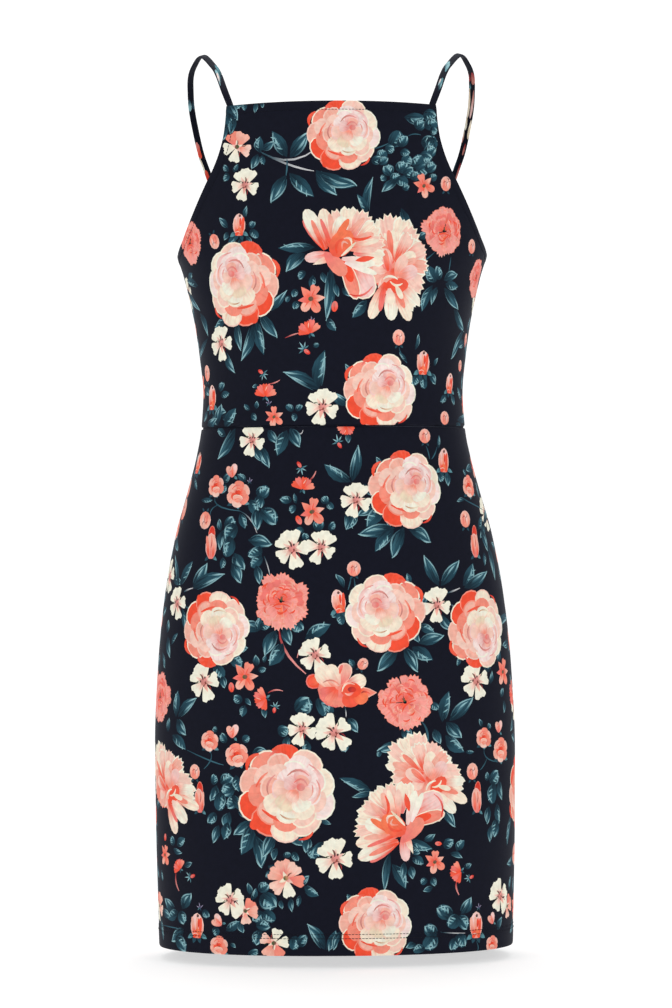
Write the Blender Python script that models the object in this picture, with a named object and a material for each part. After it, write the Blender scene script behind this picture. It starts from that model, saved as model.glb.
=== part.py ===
"""Slip dress in its worn shape: a close-fitting mini dress with thin shoulder straps.

Two bodice panels and two skirt panels of smooth stretch cloth meet at the side seams and at the
waist seam. Two narrow straps run from the corners of the neckline over the shoulders to the top
edge of the back. The dress is hollow, and open at the neck, the armholes and the hem.

Frame: metres, +Z up, the front towards -Y. The origin lies midway between the undersides of the
two straps where they cross the shoulders.
"""
import math
from bisect import bisect_right
from collections import namedtuple

import bpy
from mathutils import Vector

# Heights of the edges and seams below the shoulders, in metres
NECK_CORNER_LEVEL = -0.0545
NECK_CENTRE_RISE = 0.0030
UNDERARM_LEVEL = -0.1915
BACK_CENTRE_RISE = 0.0115
WAIST_LEVEL = -0.3565
HEM_LEVEL = -0.8510

# Cloth and seams, in metres
WALL = 0.0015
SEAM_GAP = 0.0003

# Straps, in metres
STRAP_WIDTH = 0.0065
STRAP_THICKNESS = 0.0020
STRAP_CHAMFER = 0.0005
STRAP_STEPS = 44
BACK_STRAP_SHARE = 0.52

# Exponent of the rounded ring at each level, where 2 would be an ellipse
RING_POWER = 2.25
RING_STEPS = 160

# How finely each panel is divided
PANEL_COLUMNS = 28
SKIRT_ROWS = 20
BODICE_ROWS = 9
CHEST_ROWS = 10
CHEST_EASE = 1.7

# Colour and finish of the cloth
CLOTH_COLOUR = (0.011, 0.013, 0.024, 1.0)
CLOTH_ROUGHNESS = 0.75

# The figure that fills the dress, one row for each level from the shoulders down
Ring = namedtuple("Ring", "level half_width front_depth back_depth")
FIGURE = (
    Ring(-0.0400, 0.1500, 0.0840, 0.0900),
    Ring(-0.0800, 0.1500, 0.0960, 0.0960),
    Ring(-0.1250, 0.1500, 0.1080, 0.1000),
    Ring(-0.1700, 0.1495, 0.1155, 0.1010),
    Ring(-0.1915, 0.1483, 0.1175, 0.1000),
    Ring(-0.2069, 0.1437, 0.1180, 0.0985),
    Ring(-0.2300, 0.1378, 0.1160, 0.0950),
    Ring(-0.2606, 0.1315, 0.1095, 0.0895),
    Ring(-0.2913, 0.1273, 0.1015, 0.0835),
    Ring(-0.3221, 0.1244, 0.0955, 0.0790),
    Ring(-0.3565, 0.1264, 0.0930, 0.0790),
    Ring(-0.3835, 0.1312, 0.0950, 0.0850),
    Ring(-0.4142, 0.1392, 0.1000, 0.0950),
    Ring(-0.4603, 0.1520, 0.1055, 0.1090),
    Ring(-0.5218, 0.1631, 0.1080, 0.1175),
    Ring(-0.5832, 0.1693, 0.1075, 0.1165),
    Ring(-0.6600, 0.1727, 0.1060, 0.1120),
    Ring(-0.7370, 0.1721, 0.1050, 0.1080),
    Ring(-0.8136, 0.1704, 0.1050, 0.1060),
    Ring(-0.8600, 0.1690, 0.1050, 0.1050),
)

# Edge of the front armhole, as its distance from the centre line at each level
Edge = namedtuple("Edge", "level half_width")
ARMHOLE = (
    Edge(-0.0545, 0.0988),
    Edge(-0.0682, 0.0998),
    Edge(-0.0829, 0.1017),
    Edge(-0.0980, 0.1055),
    Edge(-0.1131, 0.1112),
    Edge(-0.1275, 0.1185),
    Edge(-0.1420, 0.1255),
    Edge(-0.1566, 0.1322),
    Edge(-0.1709, 0.1385),
    Edge(-0.1800, 0.1425),
    Edge(-0.1868, 0.1462),
    Edge(-0.1915, 0.1483),
)

# Middle of a strap from front to back, on the wearer's left, and the way its outer face looks
Way = namedtuple("Way", "x y z face_x face_y face_z")
STRAP_WAY = (
    Way(0.1008, -0.0600, -0.0388, 0.25, -0.80, 0.45),
    Way(0.1072, -0.0395, -0.0211, 0.25, -0.60, 0.75),
    Way(0.1118, -0.0250, -0.0110, 0.28, -0.35, 0.90),
    Way(0.1238, 0.0000, 0.0010, 0.35, 0.00, 0.95),
    Way(0.1325, 0.0220, -0.0070, 0.40, 0.35, 0.85),
    Way(0.1362, 0.0380, -0.0155, 0.45, 0.55, 0.70),
    Way(0.1370, 0.0520, -0.0268, 0.45, 0.75, 0.50),
    Way(0.1366, 0.0640, -0.0412, 0.45, 0.85, 0.35),
    Way(0.1343, 0.0730, -0.0570, 0.42, 0.90, 0.22),
    Way(0.1285, 0.0810, -0.0843, 0.40, 0.92, 0.12),
    Way(0.1218, 0.0852, -0.1040, 0.38, 0.93, 0.06),
    Way(0.1090, 0.0872, -0.1420, 0.34, 0.94, 0.00),
)


def clear_scene():
    """Remove every object that the scene starts with."""
    for item in list(bpy.data.objects):
        bpy.data.objects.remove(item, do_unlink=True)


def slope(rows, index, column):
    """Return the slope of a column at a row, flat where the column turns round."""
    if index == 0 or index == len(rows) - 1:
        return 0.0 if len(rows) < 3 else end_slope(rows, index, column)
    before = rise_over_run(rows, index - 1, column)
    after = rise_over_run(rows, index, column)
    if before * after <= 0:
        return 0.0
    return 2 * before * after / (before + after)


def rise_over_run(rows, index, column):
    """Return the mean slope of a column between a row and the next."""
    rise = getattr(rows[index + 1], column) - getattr(rows[index], column)
    return rise / (rows[index + 1].level - rows[index].level)


def end_slope(rows, index, column):
    """Return the slope of a column at the first or the last row."""
    return rise_over_run(rows, 0 if index == 0 else index - 1, column)


def smooth_value(rows, level, column):
    """Read a column of a table at any level, on a smooth curve through its rows."""
    depths = [-row.level for row in rows]
    index = min(max(bisect_right(depths, -level) - 1, 0), len(rows) - 2)
    run = rows[index + 1].level - rows[index].level
    share = min(max((level - rows[index].level) / run, 0.0), 1.0)
    start = getattr(rows[index], column)
    end = getattr(rows[index + 1], column)
    start_turn = slope(rows, index, column) * run
    end_turn = slope(rows, index + 1, column) * run
    square = share * share
    cube = square * share
    return (
        (2 * cube - 3 * square + 1) * start
        + (cube - 2 * square + share) * start_turn
        + (3 * square - 2 * cube) * end
        + (cube - square) * end_turn
    )


def quarter_ring(level, side):
    """Return a quarter of the ring at a level, from the centre line to the side seam.

    The result is a list of (arc length, x, depth), where side is "front" or "back".
    """
    half_width = smooth_value(FIGURE, level, "half_width")
    depth = smooth_value(FIGURE, level, side + "_depth")
    quarter = []
    length = 0.0
    for step in range(RING_STEPS + 1):
        angle = math.pi / 2 * step / RING_STEPS
        across = half_width * math.sin(angle) ** (2 / RING_POWER)
        out = depth * max(math.cos(angle), 0.0) ** (2 / RING_POWER)
        if quarter:
            length += math.hypot(across - quarter[-1][1], out - quarter[-1][2])
        quarter.append((length, across, out))
    return quarter


def half_length(level, side):
    """Return the arc length from the centre line to the side seam."""
    return quarter_ring(level, side)[-1][0]


def arc_at_width(level, side, half_width):
    """Return the arc length at which the ring is a given distance from the centre line."""
    quarter = quarter_ring(level, side)
    index = min(bisect_right([point[1] for point in quarter], half_width), RING_STEPS)
    before, after = quarter[index - 1], quarter[index]
    share = (half_width - before[1]) / (after[1] - before[1])
    return before[0] + share * (after[0] - before[0])


def cloth_point(level, side, arc):
    """Return the point of the cloth's outer face at a level and a signed arc length.

    The arc grows towards +X on the front and towards -X on the back, so that each panel is
    laid out from left to right as somebody who faces it sees it.
    """
    quarter = quarter_ring(level, side)
    reach = min(abs(arc), quarter[-1][0])
    index = min(bisect_right([point[0] for point in quarter], reach), RING_STEPS)
    before, after = quarter[index - 1], quarter[index]
    share = (reach - before[0]) / (after[0] - before[0])
    across = before[1] + share * (after[1] - before[1])
    out = before[2] + share * (after[2] - before[2])
    sign = math.copysign(1.0, arc)
    if side == "front":
        return Vector((sign * across, -out, level))
    return Vector((-sign * across, out, level))


def neck_level(share):
    """Return the height of the neckline, where share runs from -1 to 1 along it."""
    return NECK_CORNER_LEVEL + NECK_CENTRE_RISE * (1 - share ** 2)


def back_level(share):
    """Return the height of the back's top edge, where share runs from -1 to 1 along it."""
    return UNDERARM_LEVEL + BACK_CENTRE_RISE * (1 - share ** 4)


def panel_shares():
    """Return the places of a panel's columns, from -1 at one side to 1 at the other."""
    return [2 * column / PANEL_COLUMNS - 1 for column in range(PANEL_COLUMNS + 1)]


def seamed_row(level_of_share, side):
    """Return one row of a panel that runs from side seam to side seam."""
    reach = half_length(level_of_share(1.0), side) - SEAM_GAP / 2
    return [cloth_point(level_of_share(share), side, share * reach) for share in panel_shares()]


def skirt_rows(side):
    """Return the outer points of a skirt panel, from the hem up to the waist seam."""
    top = WAIST_LEVEL - SEAM_GAP / 2
    rows = []
    for row in range(SKIRT_ROWS + 1):
        level = HEM_LEVEL + (top - HEM_LEVEL) * row / SKIRT_ROWS
        rows.append(seamed_row(lambda share, level=level: level, side))
    return rows


def back_bodice_rows():
    """Return the outer points of the back bodice, from the waist seam up to its top edge."""
    bottom = WAIST_LEVEL + SEAM_GAP / 2
    count = BODICE_ROWS + 2
    rows = []
    for row in range(count + 1):
        rise = row / count
        rows.append(seamed_row(lambda share: bottom + (back_level(share) - bottom) * rise, "back"))
    return rows


def chest_row(rise):
    """Return one row of the front between its armholes, with rise from 0 up to 1."""
    def level_of_share(share):
        return UNDERARM_LEVEL + (neck_level(share) - UNDERARM_LEVEL) * rise

    edge_level = level_of_share(1.0)
    edge_width = smooth_value(ARMHOLE, edge_level, "half_width")
    reach = arc_at_width(edge_level, "front", edge_width)
    return [cloth_point(level_of_share(share), "front", share * reach) for share in panel_shares()]


def front_bodice_rows():
    """Return the outer points of the front bodice, from the waist seam up to the neckline."""
    bottom = WAIST_LEVEL + SEAM_GAP / 2
    rows = []
    for row in range(BODICE_ROWS + 1):
        level = bottom + (UNDERARM_LEVEL - bottom) * row / BODICE_ROWS
        rows.append(seamed_row(lambda share, level=level: level, "front"))
    for row in range(1, CHEST_ROWS + 1):
        rows.append(chest_row((row / CHEST_ROWS) ** CHEST_EASE))
    return rows


def outward(rows, row, column):
    """Return the direction in which the cloth faces at one point of a panel's grid."""
    last_row = len(rows) - 1
    last_column = len(rows[0]) - 1
    across = rows[row][min(column + 1, last_column)] - rows[row][max(column - 1, 0)]
    up = rows[min(row + 1, last_row)][column] - rows[max(row - 1, 0)][column]
    return across.cross(up).normalized()


def border(row_count, column_count):
    """Return the grid places round a panel's edge, anticlockwise as seen from outside."""
    walk = [(0, column) for column in range(column_count)]
    walk += [(row, column_count - 1) for row in range(1, row_count)]
    walk += [(row_count - 1, column) for column in range(column_count - 2, -1, -1)]
    walk += [(row, 0) for row in range(row_count - 2, 0, -1)]
    return walk


def add_object(name, points, faces):
    """Make one named object with a cloth material of its own."""
    mesh = bpy.data.meshes.new(name)
    mesh.from_pydata(points, [], faces)
    mesh.update()
    mesh.shade_smooth()
    mesh.set_sharp_from_angle(angle=math.radians(40))
    mesh.materials.append(cloth_material(name + "_cloth"))
    item = bpy.data.objects.new(name, mesh)
    bpy.context.scene.collection.objects.link(item)
    return item


def cloth_material(name):
    """Return a matt, near-black navy cloth."""
    material = bpy.data.materials.new(name)
    material.use_nodes = True
    shader = material.node_tree.nodes["Principled BSDF"]
    shader.inputs["Base Color"].default_value = CLOTH_COLOUR
    shader.inputs["Roughness"].default_value = CLOTH_ROUGHNESS
    shader.inputs["Metallic"].default_value = 0.0
    return material


def make_panel(name, rows):
    """Close a grid of outer points into a wall of cloth."""
    row_count = len(rows)
    column_count = len(rows[0])
    outer = []
    inner = []
    for row in range(row_count):
        for column in range(column_count):
            outer.append(rows[row][column])
            inner.append(rows[row][column] - outward(rows, row, column) * WALL)

    def at(row, column):
        return row * column_count + column

    faces = []
    for row in range(row_count - 1):
        for column in range(column_count - 1):
            corners = [
                at(row, column),
                at(row, column + 1),
                at(row + 1, column + 1),
                at(row + 1, column),
            ]
            faces.append(corners)
            faces.append([len(outer) + corner for corner in reversed(corners)])
    walk = border(row_count, column_count)
    for here, there in zip(walk, walk[1:] + walk[:1]):
        near = at(*here)
        far = at(*there)
        faces.append([far, near, len(outer) + near, len(outer) + far])
    return add_object(name, outer + inner, faces)


def strap_section():
    """Return the strap's cross-section, as (across, out) places round its middle."""
    half = STRAP_WIDTH / 2
    thick = STRAP_THICKNESS / 2
    cut = STRAP_CHAMFER
    return (
        (half, -thick + cut),
        (half, thick - cut),
        (half - cut, thick),
        (-half + cut, thick),
        (-half, thick - cut),
        (-half, -thick + cut),
        (-half + cut, -thick),
        (half - cut, -thick),
    )


def strap_end(level_of_share, side, edge_arc, arc):
    """Return where a strap meets a top edge: its middle, the way it faces and its height."""
    level = level_of_share(arc / edge_arc)
    here = cloth_point(level, side, arc)
    step = math.copysign(STRAP_WIDTH / 2, arc)
    across = cloth_point(level, side, arc + step) - cloth_point(level, side, arc - step)
    face = Vector((across.y, -across.x, 0.0)).normalized()
    if face.y * here.y < 0:
        face = -face
    middle = here - face * WALL / 2
    middle.z = level + SEAM_GAP
    return middle, face


def strap_stations():
    """Return the strap's stations from front to back, as pairs of a place and a face."""
    front_width = smooth_value(ARMHOLE, NECK_CORNER_LEVEL, "half_width")
    front_reach = arc_at_width(NECK_CORNER_LEVEL, "front", front_width)
    back_reach = half_length(UNDERARM_LEVEL, "back")
    front_arc = front_reach - STRAP_WIDTH / 2 - SEAM_GAP
    back_arc = -BACK_STRAP_SHARE * back_reach
    stations = [strap_end(neck_level, "front", front_reach, front_arc)]
    for way in STRAP_WAY:
        stations.append((Vector(way[:3]), Vector(way[3:]).normalized()))
    stations.append(strap_end(back_level, "back", back_reach, back_arc))
    return stations


def through(stations, place):
    """Return the point and face at a place along the stations, on a smooth curve."""
    index = min(int(place), len(stations) - 2)
    share = place - index
    picked = [stations[min(max(index + step, 0), len(stations) - 1)] for step in (-1, 0, 1, 2)]

    def blend(column):
        before, start, end, after = (row[column] for row in picked)
        return 0.5 * (
            2 * start
            + (end - before) * share
            + (2 * before - 5 * start + 4 * end - after) * share ** 2
            + (3 * start - before - 3 * end + after) * share ** 3
        )

    return blend(0), blend(1).normalized()


def even_places(stations, count):
    """Return places along the stations that are equal lengths of strap apart."""
    fine = [step / 20 for step in range(20 * (len(stations) - 1) + 1)]
    points = [through(stations, place)[0] for place in fine]
    lengths = [0.0]
    for near, far in zip(points, points[1:]):
        lengths.append(lengths[-1] + (far - near).length)
    places = []
    for step in range(count + 1):
        wanted = lengths[-1] * step / count
        index = min(max(bisect_right(lengths, wanted) - 1, 0), len(fine) - 2)
        share = (wanted - lengths[index]) / (lengths[index + 1] - lengths[index])
        places.append(fine[index] + share * (fine[index + 1] - fine[index]))
    return places


def make_strap(name, mirror):
    """Sweep the strap's section from the neckline over the shoulder to the back."""
    stations = strap_stations()
    places = even_places(stations, STRAP_STEPS)
    middles = [through(stations, place)[0] for place in places]
    section = strap_section()
    points = []
    for step, place in enumerate(places):
        middle, face = through(stations, place)
        ahead = middles[min(step + 1, STRAP_STEPS)] - middles[max(step - 1, 0)]
        across = ahead.cross(face).normalized()
        out = across.cross(ahead).normalized()
        for side, height in section:
            point = middle + across * side + out * height
            if step in (0, STRAP_STEPS):
                point.z = middle.z
            points.append(Vector((mirror * point.x, point.y, point.z)))
    count = len(section)
    faces = []
    for step in range(STRAP_STEPS):
        for corner in range(count):
            following = (corner + 1) % count
            faces.append([
                step * count + corner,
                step * count + following,
                (step + 1) * count + following,
                (step + 1) * count + corner,
            ])
    faces.append(list(reversed(range(count))))
    faces.append([STRAP_STEPS * count + corner for corner in range(count)])
    if mirror > 0:
        faces = [list(reversed(face)) for face in faces]
    return add_object(name, points, faces)


def main():
    """Build the six pieces of the dress."""
    clear_scene()
    make_panel("front_bodice", front_bodice_rows())
    make_panel("back_bodice", back_bodice_rows())
    make_panel("front_skirt", skirt_rows("front"))
    make_panel("back_skirt", skirt_rows("back"))
    make_strap("strap_left", 1.0)
    make_strap("strap_right", -1.0)


main()
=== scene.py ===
"""Looks of the slip dress: printed stretch cloth, seams, hems, stitches and straps."""
import math
import random
from bisect import bisect_right
from collections import namedtuple

import bpy
import numpy as np
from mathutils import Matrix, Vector
from mathutils.geometry import delaunay_2d_cdt


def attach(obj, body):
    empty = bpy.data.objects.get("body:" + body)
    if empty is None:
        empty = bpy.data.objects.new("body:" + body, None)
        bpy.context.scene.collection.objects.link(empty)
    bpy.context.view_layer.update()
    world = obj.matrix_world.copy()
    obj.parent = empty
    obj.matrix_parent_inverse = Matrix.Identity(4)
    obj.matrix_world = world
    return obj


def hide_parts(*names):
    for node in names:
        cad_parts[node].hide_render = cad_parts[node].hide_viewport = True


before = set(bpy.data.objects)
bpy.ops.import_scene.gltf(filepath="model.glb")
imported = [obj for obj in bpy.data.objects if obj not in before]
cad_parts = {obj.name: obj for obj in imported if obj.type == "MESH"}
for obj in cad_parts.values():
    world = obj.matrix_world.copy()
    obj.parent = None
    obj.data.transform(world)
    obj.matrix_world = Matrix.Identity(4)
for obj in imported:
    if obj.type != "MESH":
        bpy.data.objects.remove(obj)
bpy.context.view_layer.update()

# Heights of the edges and seams below the shoulders, as in the solids, in metres
NECK_CORNER_LEVEL = -0.0545
NECK_CENTRE_RISE = 0.0030
UNDERARM_LEVEL = -0.1915
BACK_CENTRE_RISE = 0.0115
WAIST_LEVEL = -0.3565
HEM_LEVEL = -0.8510

# Cloth and seams, in metres
SEAM_GAP = 0.00006
CLOTH = 0.0009
TURNED_CLOTH = 0.0015
HEM_DEPTH = 0.0200
NECK_HEM_DEPTH = 0.0085
ARMHOLE_HEM_DEPTH = 0.0080
BACK_HEM_DEPTH = 0.0085

# Exponent of the rounded ring at each level, where 2 would be an ellipse
RING_POWER = 2.25
RING_STEPS = 160

# The figure that fills the dress, one row for each level from the shoulders down
Ring = namedtuple("Ring", "level half_width front_depth back_depth")
FIGURE = (
    Ring(-0.0400, 0.1500, 0.0840, 0.0900),
    Ring(-0.0800, 0.1500, 0.0960, 0.0960),
    Ring(-0.1250, 0.1500, 0.1080, 0.1000),
    Ring(-0.1700, 0.1495, 0.1155, 0.1010),
    Ring(-0.1915, 0.1483, 0.1175, 0.1000),
    Ring(-0.2069, 0.1437, 0.1180, 0.0985),
    Ring(-0.2300, 0.1378, 0.1160, 0.0950),
    Ring(-0.2606, 0.1315, 0.1095, 0.0895),
    Ring(-0.2913, 0.1273, 0.1015, 0.0835),
    Ring(-0.3221, 0.1244, 0.0955, 0.0790),
    Ring(-0.3565, 0.1264, 0.0930, 0.0790),
    Ring(-0.3835, 0.1312, 0.0950, 0.0850),
    Ring(-0.4142, 0.1392, 0.1000, 0.0950),
    Ring(-0.4603, 0.1520, 0.1055, 0.1090),
    Ring(-0.5218, 0.1631, 0.1080, 0.1175),
    Ring(-0.5832, 0.1693, 0.1075, 0.1165),
    Ring(-0.6600, 0.1727, 0.1060, 0.1120),
    Ring(-0.7370, 0.1721, 0.1050, 0.1080),
    Ring(-0.8136, 0.1704, 0.1050, 0.1060),
    Ring(-0.8600, 0.1690, 0.1050, 0.1050),
)

# Edge of the front armhole, as its distance from the centre line at each level
Edge = namedtuple("Edge", "level half_width")
ARMHOLE = (
    Edge(-0.0545, 0.0988),
    Edge(-0.0682, 0.0998),
    Edge(-0.0829, 0.1017),
    Edge(-0.0980, 0.1055),
    Edge(-0.1131, 0.1112),
    Edge(-0.1275, 0.1185),
    Edge(-0.1420, 0.1255),
    Edge(-0.1566, 0.1322),
    Edge(-0.1709, 0.1385),
    Edge(-0.1800, 0.1425),
    Edge(-0.1868, 0.1462),
    Edge(-0.1915, 0.1483),
)

# The photograph's view: the camera is level with the middle of the dress
CAMERA_DISTANCE = 3.6
CAMERA_LEVEL = -0.4296
CAMERA_ASIDE = 0.0023
CAMERA_ROLL = math.radians(0.33)
FRAME_WIDTH = 672
FRAME_HEIGHT = 1008
FRAME_UNIT = 0.00096
SENSOR = 36.0

# Mesh of the cloth, in metres
EDGE_STEP = 0.005
GRID_STEP = 0.008
LINING_STEP = 0.014
TABLE_STEP = 0.002
RING_SAMPLES = 161

# Heights above the underarm at which the table of levels is finer, in metres
ARMHOLE_RISES = (0.0004, 0.0012, 0.0026, 0.0046, 0.0075)

# How near a point counts as on a line, how far the inner face's loose points keep from its edge,
# and where the inner face's lines lie beside the end of a hem, in metres
LINE_REACH = 0.0003
LINING_CLEAR = 0.004
LINING_LINES = (-0.0006, 0.0006)

# Steps for working out which way a surface faces, in metres, and the least length to divide by
SMOOTH_STEP = 0.0004
NORMAL_STEP = 0.0005
STRAP_NORMAL_STEP = 0.0003
TINY = 1e-12

# Colours of the print, as seen on screen, from 0 to 255
NAVY = (15, 17, 30)
CORAL = (236, 92, 70)
RED = (212, 58, 46)
SALMON = (240, 142, 122)
PINK = (234, 120, 112)
PEACH = (240, 178, 160)
PALE = (242, 202, 186)
CREAM = (242, 228, 206)
IVORY = (238, 236, 218)
TEAL_DARK = (20, 40, 52)
TEAL = (38, 74, 88)
TEAL_LIGHT = (92, 142, 152)
BROWN = (128, 84, 72)
RED_CORAL = (238, 80, 54)
ROSE_BROWN = (196, 126, 116)
BRONZE = (196, 140, 104)
DARK = (44, 32, 40)
MOSS = (70, 92, 58)
MAROON = (160, 52, 54)
PALE_STEM = (196, 196, 198)
TEAL_EDGE = (56, 98, 112)
TEAL_PALE = (146, 188, 194)
ORANGE = (242, 122, 84)
ROSE = (226, 146, 140)
SHELL = (240, 200, 194)
MILK = (242, 222, 216)
STRAW = (232, 214, 186)
LILAC = (168, 160, 190)
DEEP_PINK = (222, 96, 90)
BLUSH_PINK = (242, 158, 148)
LILAC_DARK = (70, 66, 96)


def screen(colour):
    """Turn a colour as seen on screen into the linear one that shading works in."""
    linear = []
    for part in colour:
        value = part / 255
        linear.append(value / 12.92 if value <= 0.04045 else ((value + 0.055) / 1.055) ** 2.4)
    return linear


def rise_over_run(rows, index, column):
    """Return the mean slope of a column between a row and the next."""
    rise = getattr(rows[index + 1], column) - getattr(rows[index], column)
    return rise / (rows[index + 1].level - rows[index].level)


def slope(rows, index, column):
    """Return the slope of a column at a row, flat where the column turns round."""
    last = len(rows) - 1
    if index in (0, last):
        return rise_over_run(rows, min(index, last - 1), column)
    before = rise_over_run(rows, index - 1, column)
    after = rise_over_run(rows, index, column)
    return 0.0 if before * after <= 0 else 2 * before * after / (before + after)


def smooth_value(rows, level, column):
    """Read a column of a table at any level, on a smooth curve through its rows."""
    depths = [-row.level for row in rows]
    index = min(max(bisect_right(depths, -level) - 1, 0), len(rows) - 2)
    run = rows[index + 1].level - rows[index].level
    share = min(max((level - rows[index].level) / run, 0.0), 1.0)
    square = share * share
    cube = square * share
    return (
        (2 * cube - 3 * square + 1) * getattr(rows[index], column)
        + (cube - 2 * square + share) * slope(rows, index, column) * run
        + (3 * square - 2 * cube) * getattr(rows[index + 1], column)
        + (cube - square) * slope(rows, index + 1, column) * run
    )


class Form:
    """The smooth surface of one side of the figure, tabled so that many points read it fast."""

    def __init__(self, side):
        self.sign = -1.0 if side == "front" else 1.0
        self.top = FIGURE[0].level
        count = int((self.top - FIGURE[-1].level) / TABLE_STEP) + 1
        self.levels = self.top - TABLE_STEP * np.arange(count)
        angles = np.linspace(0, math.pi / 2, RING_STEPS + 1)
        shares = np.linspace(0, 1, RING_SAMPLES)
        across, out, lengths = [], [], []
        for level in self.levels:
            half_width = smooth_value(FIGURE, level, "half_width")
            depth = smooth_value(FIGURE, level, side + "_depth")
            x = half_width * np.sin(angles) ** (2 / RING_POWER)
            y = depth * np.maximum(np.cos(angles), 0) ** (2 / RING_POWER)
            arc = np.concatenate([[0], np.cumsum(np.hypot(np.diff(x), np.diff(y)))])
            across.append(np.interp(shares * arc[-1], arc, x))
            out.append(np.interp(shares * arc[-1], arc, y))
            lengths.append(arc[-1])
        self.across = np.array(across)
        self.out = np.array(out)
        self.lengths = np.array(lengths)

    def half_length(self, level):
        """Return the arc length from the centre line to the side seam."""
        return np.interp(-np.asarray(level), -self.levels, self.lengths)

    def points(self, arc, level):
        """Return points of the smooth surface at signed arc lengths and levels."""
        row = np.clip((self.top - level) / TABLE_STEP, 0, len(self.levels) - 1.001)
        low_row = row.astype(int)
        row_share = row - low_row
        column = np.abs(arc) / self.half_length(level) * (RING_SAMPLES - 1)
        column = np.clip(column, 0, RING_SAMPLES - 1.001)
        low_column = column.astype(int)
        column_share = column - low_column

        def read(table):
            """Read a table between four of its entries."""
            near = table[low_row, low_column] * (1 - column_share)
            near = near + table[low_row, low_column + 1] * column_share
            far = table[low_row + 1, low_column] * (1 - column_share)
            far = far + table[low_row + 1, low_column + 1] * column_share
            return near * (1 - row_share) + far * row_share

        side = np.sign(arc) * -self.sign
        return np.stack([side * read(self.across), self.sign * read(self.out), level], 1)

    def arc_at(self, x, level):
        """Return the signed arc length of the point that lies at x, at a level."""
        row = int(np.clip(round((self.top - level) / TABLE_STEP), 0, len(self.levels) - 1))
        shares = np.linspace(0, 1, RING_SAMPLES)
        share = np.interp(abs(x), self.across[row], shares)
        return math.copysign(share * self.lengths[row], x * -self.sign)


FORMS = {"front": Form("front"), "back": Form("back")}


def neck_level(share):
    """Return the height of the neckline, where share runs from -1 to 1 along it."""
    return NECK_CORNER_LEVEL + NECK_CENTRE_RISE * (1 - share ** 2)


def back_level(share):
    """Return the height of the back's top edge, where share runs from -1 to 1 along it."""
    return UNDERARM_LEVEL + BACK_CENTRE_RISE * (1 - share ** 4)


def steps(length, step):
    """Return how many equal steps of about a given size fit in a length."""
    return max(1, round(length / step))


def side_line(form, low, high):
    """Return the right-hand side seam line of a panel, from a low level up to a high one."""
    count = steps(high - low, EDGE_STEP)
    levels = np.linspace(low, high, count + 1)
    return np.stack([form.half_length(levels) - SEAM_GAP / 2, levels], 1)


def mirrored(line):
    """Return a line's mirror image on the left of the centre line, run the other way."""
    return (line * np.array([-1.0, 1.0]))[::-1]


def level_line(start, end, level_of_share):
    """Return a line between two arc lengths, where its level follows a function of the share."""
    count = steps(abs(end - start), EDGE_STEP)
    arcs = np.linspace(start, end, count + 1)
    reach = max(abs(start), abs(end))
    return np.stack([arcs, level_of_share(arcs / reach)], 1)


def armhole_line():
    """Return the right-hand armhole edge on the flat front, from the underarm up to the neck."""
    form = FORMS["front"]
    levels = [UNDERARM_LEVEL]
    levels += [UNDERARM_LEVEL + rise for rise in ARMHOLE_RISES]
    count = steps(NECK_CORNER_LEVEL - levels[-1], EDGE_STEP)
    levels += list(np.linspace(levels[-1], NECK_CORNER_LEVEL, count + 1)[1:])
    line = []
    for level in levels:
        width = smooth_value(ARMHOLE, level, "half_width")
        line.append((form.arc_at(width, level), level))
    line[0] = (float(form.half_length(UNDERARM_LEVEL)) - SEAM_GAP / 2, UNDERARM_LEVEL)
    return np.array(line)


def joined(*lines):
    """Join lines end to end into one closed outline, without the doubled corners."""
    return np.concatenate([line[:-1] for line in lines])


def skirt_outline(side):
    """Return a skirt panel's flat outline, anticlockwise from its lower left corner."""
    form = FORMS[side]
    right = side_line(form, HEM_LEVEL, WAIST_LEVEL - SEAM_GAP / 2)
    left = mirrored(right)
    hem = level_line(-right[0, 0], right[0, 0], lambda share: HEM_LEVEL + 0 * share)
    waist = level_line(right[-1, 0], -right[-1, 0], lambda share: right[-1, 1] + 0 * share)
    return joined(hem, right, waist, left)


def front_bodice_outline():
    """Return the front bodice's flat outline, anticlockwise from its lower left corner."""
    right = side_line(FORMS["front"], WAIST_LEVEL + SEAM_GAP / 2, UNDERARM_LEVEL)
    hole = armhole_line()
    waist = level_line(-right[0, 0], right[0, 0], lambda share: right[0, 1] + 0 * share)
    neck = level_line(hole[-1, 0], -hole[-1, 0], neck_level)
    return joined(waist, right, hole, neck, mirrored(hole), mirrored(right))


def back_bodice_outline():
    """Return the back bodice's flat outline, anticlockwise from its lower left corner."""
    right = side_line(FORMS["back"], WAIST_LEVEL + SEAM_GAP / 2, UNDERARM_LEVEL)
    waist = level_line(-right[0, 0], right[0, 0], lambda share: right[0, 1] + 0 * share)
    top = level_line(right[-1, 0], -right[-1, 0], back_level)
    return joined(waist, right, top, mirrored(right))


def closed(outline):
    """Return an outline with its first point again at its end."""
    return np.vstack([outline, outline[:1]])


def line_distance(places, line):
    """Return each place's distance from a line of points on the flat cloth."""
    best = np.full(len(places), np.inf)
    for start, end in zip(line[:-1], line[1:]):
        along = end - start
        share = np.clip(((places - start) @ along) / max(along @ along, TINY), 0, 1)
        gap = np.linalg.norm(places - start - share[:, None] * along, axis=1)
        best = np.minimum(best, gap)
    return best


# Lines along which the cloth's mesh is finer, as distances from an edge or a seam
EDGE_LINES = (0.0004, 0.0010, 0.0018)
STITCH_LINES = (-0.0016, -0.0008, 0.0, 0.0008, 0.0016)

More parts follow.
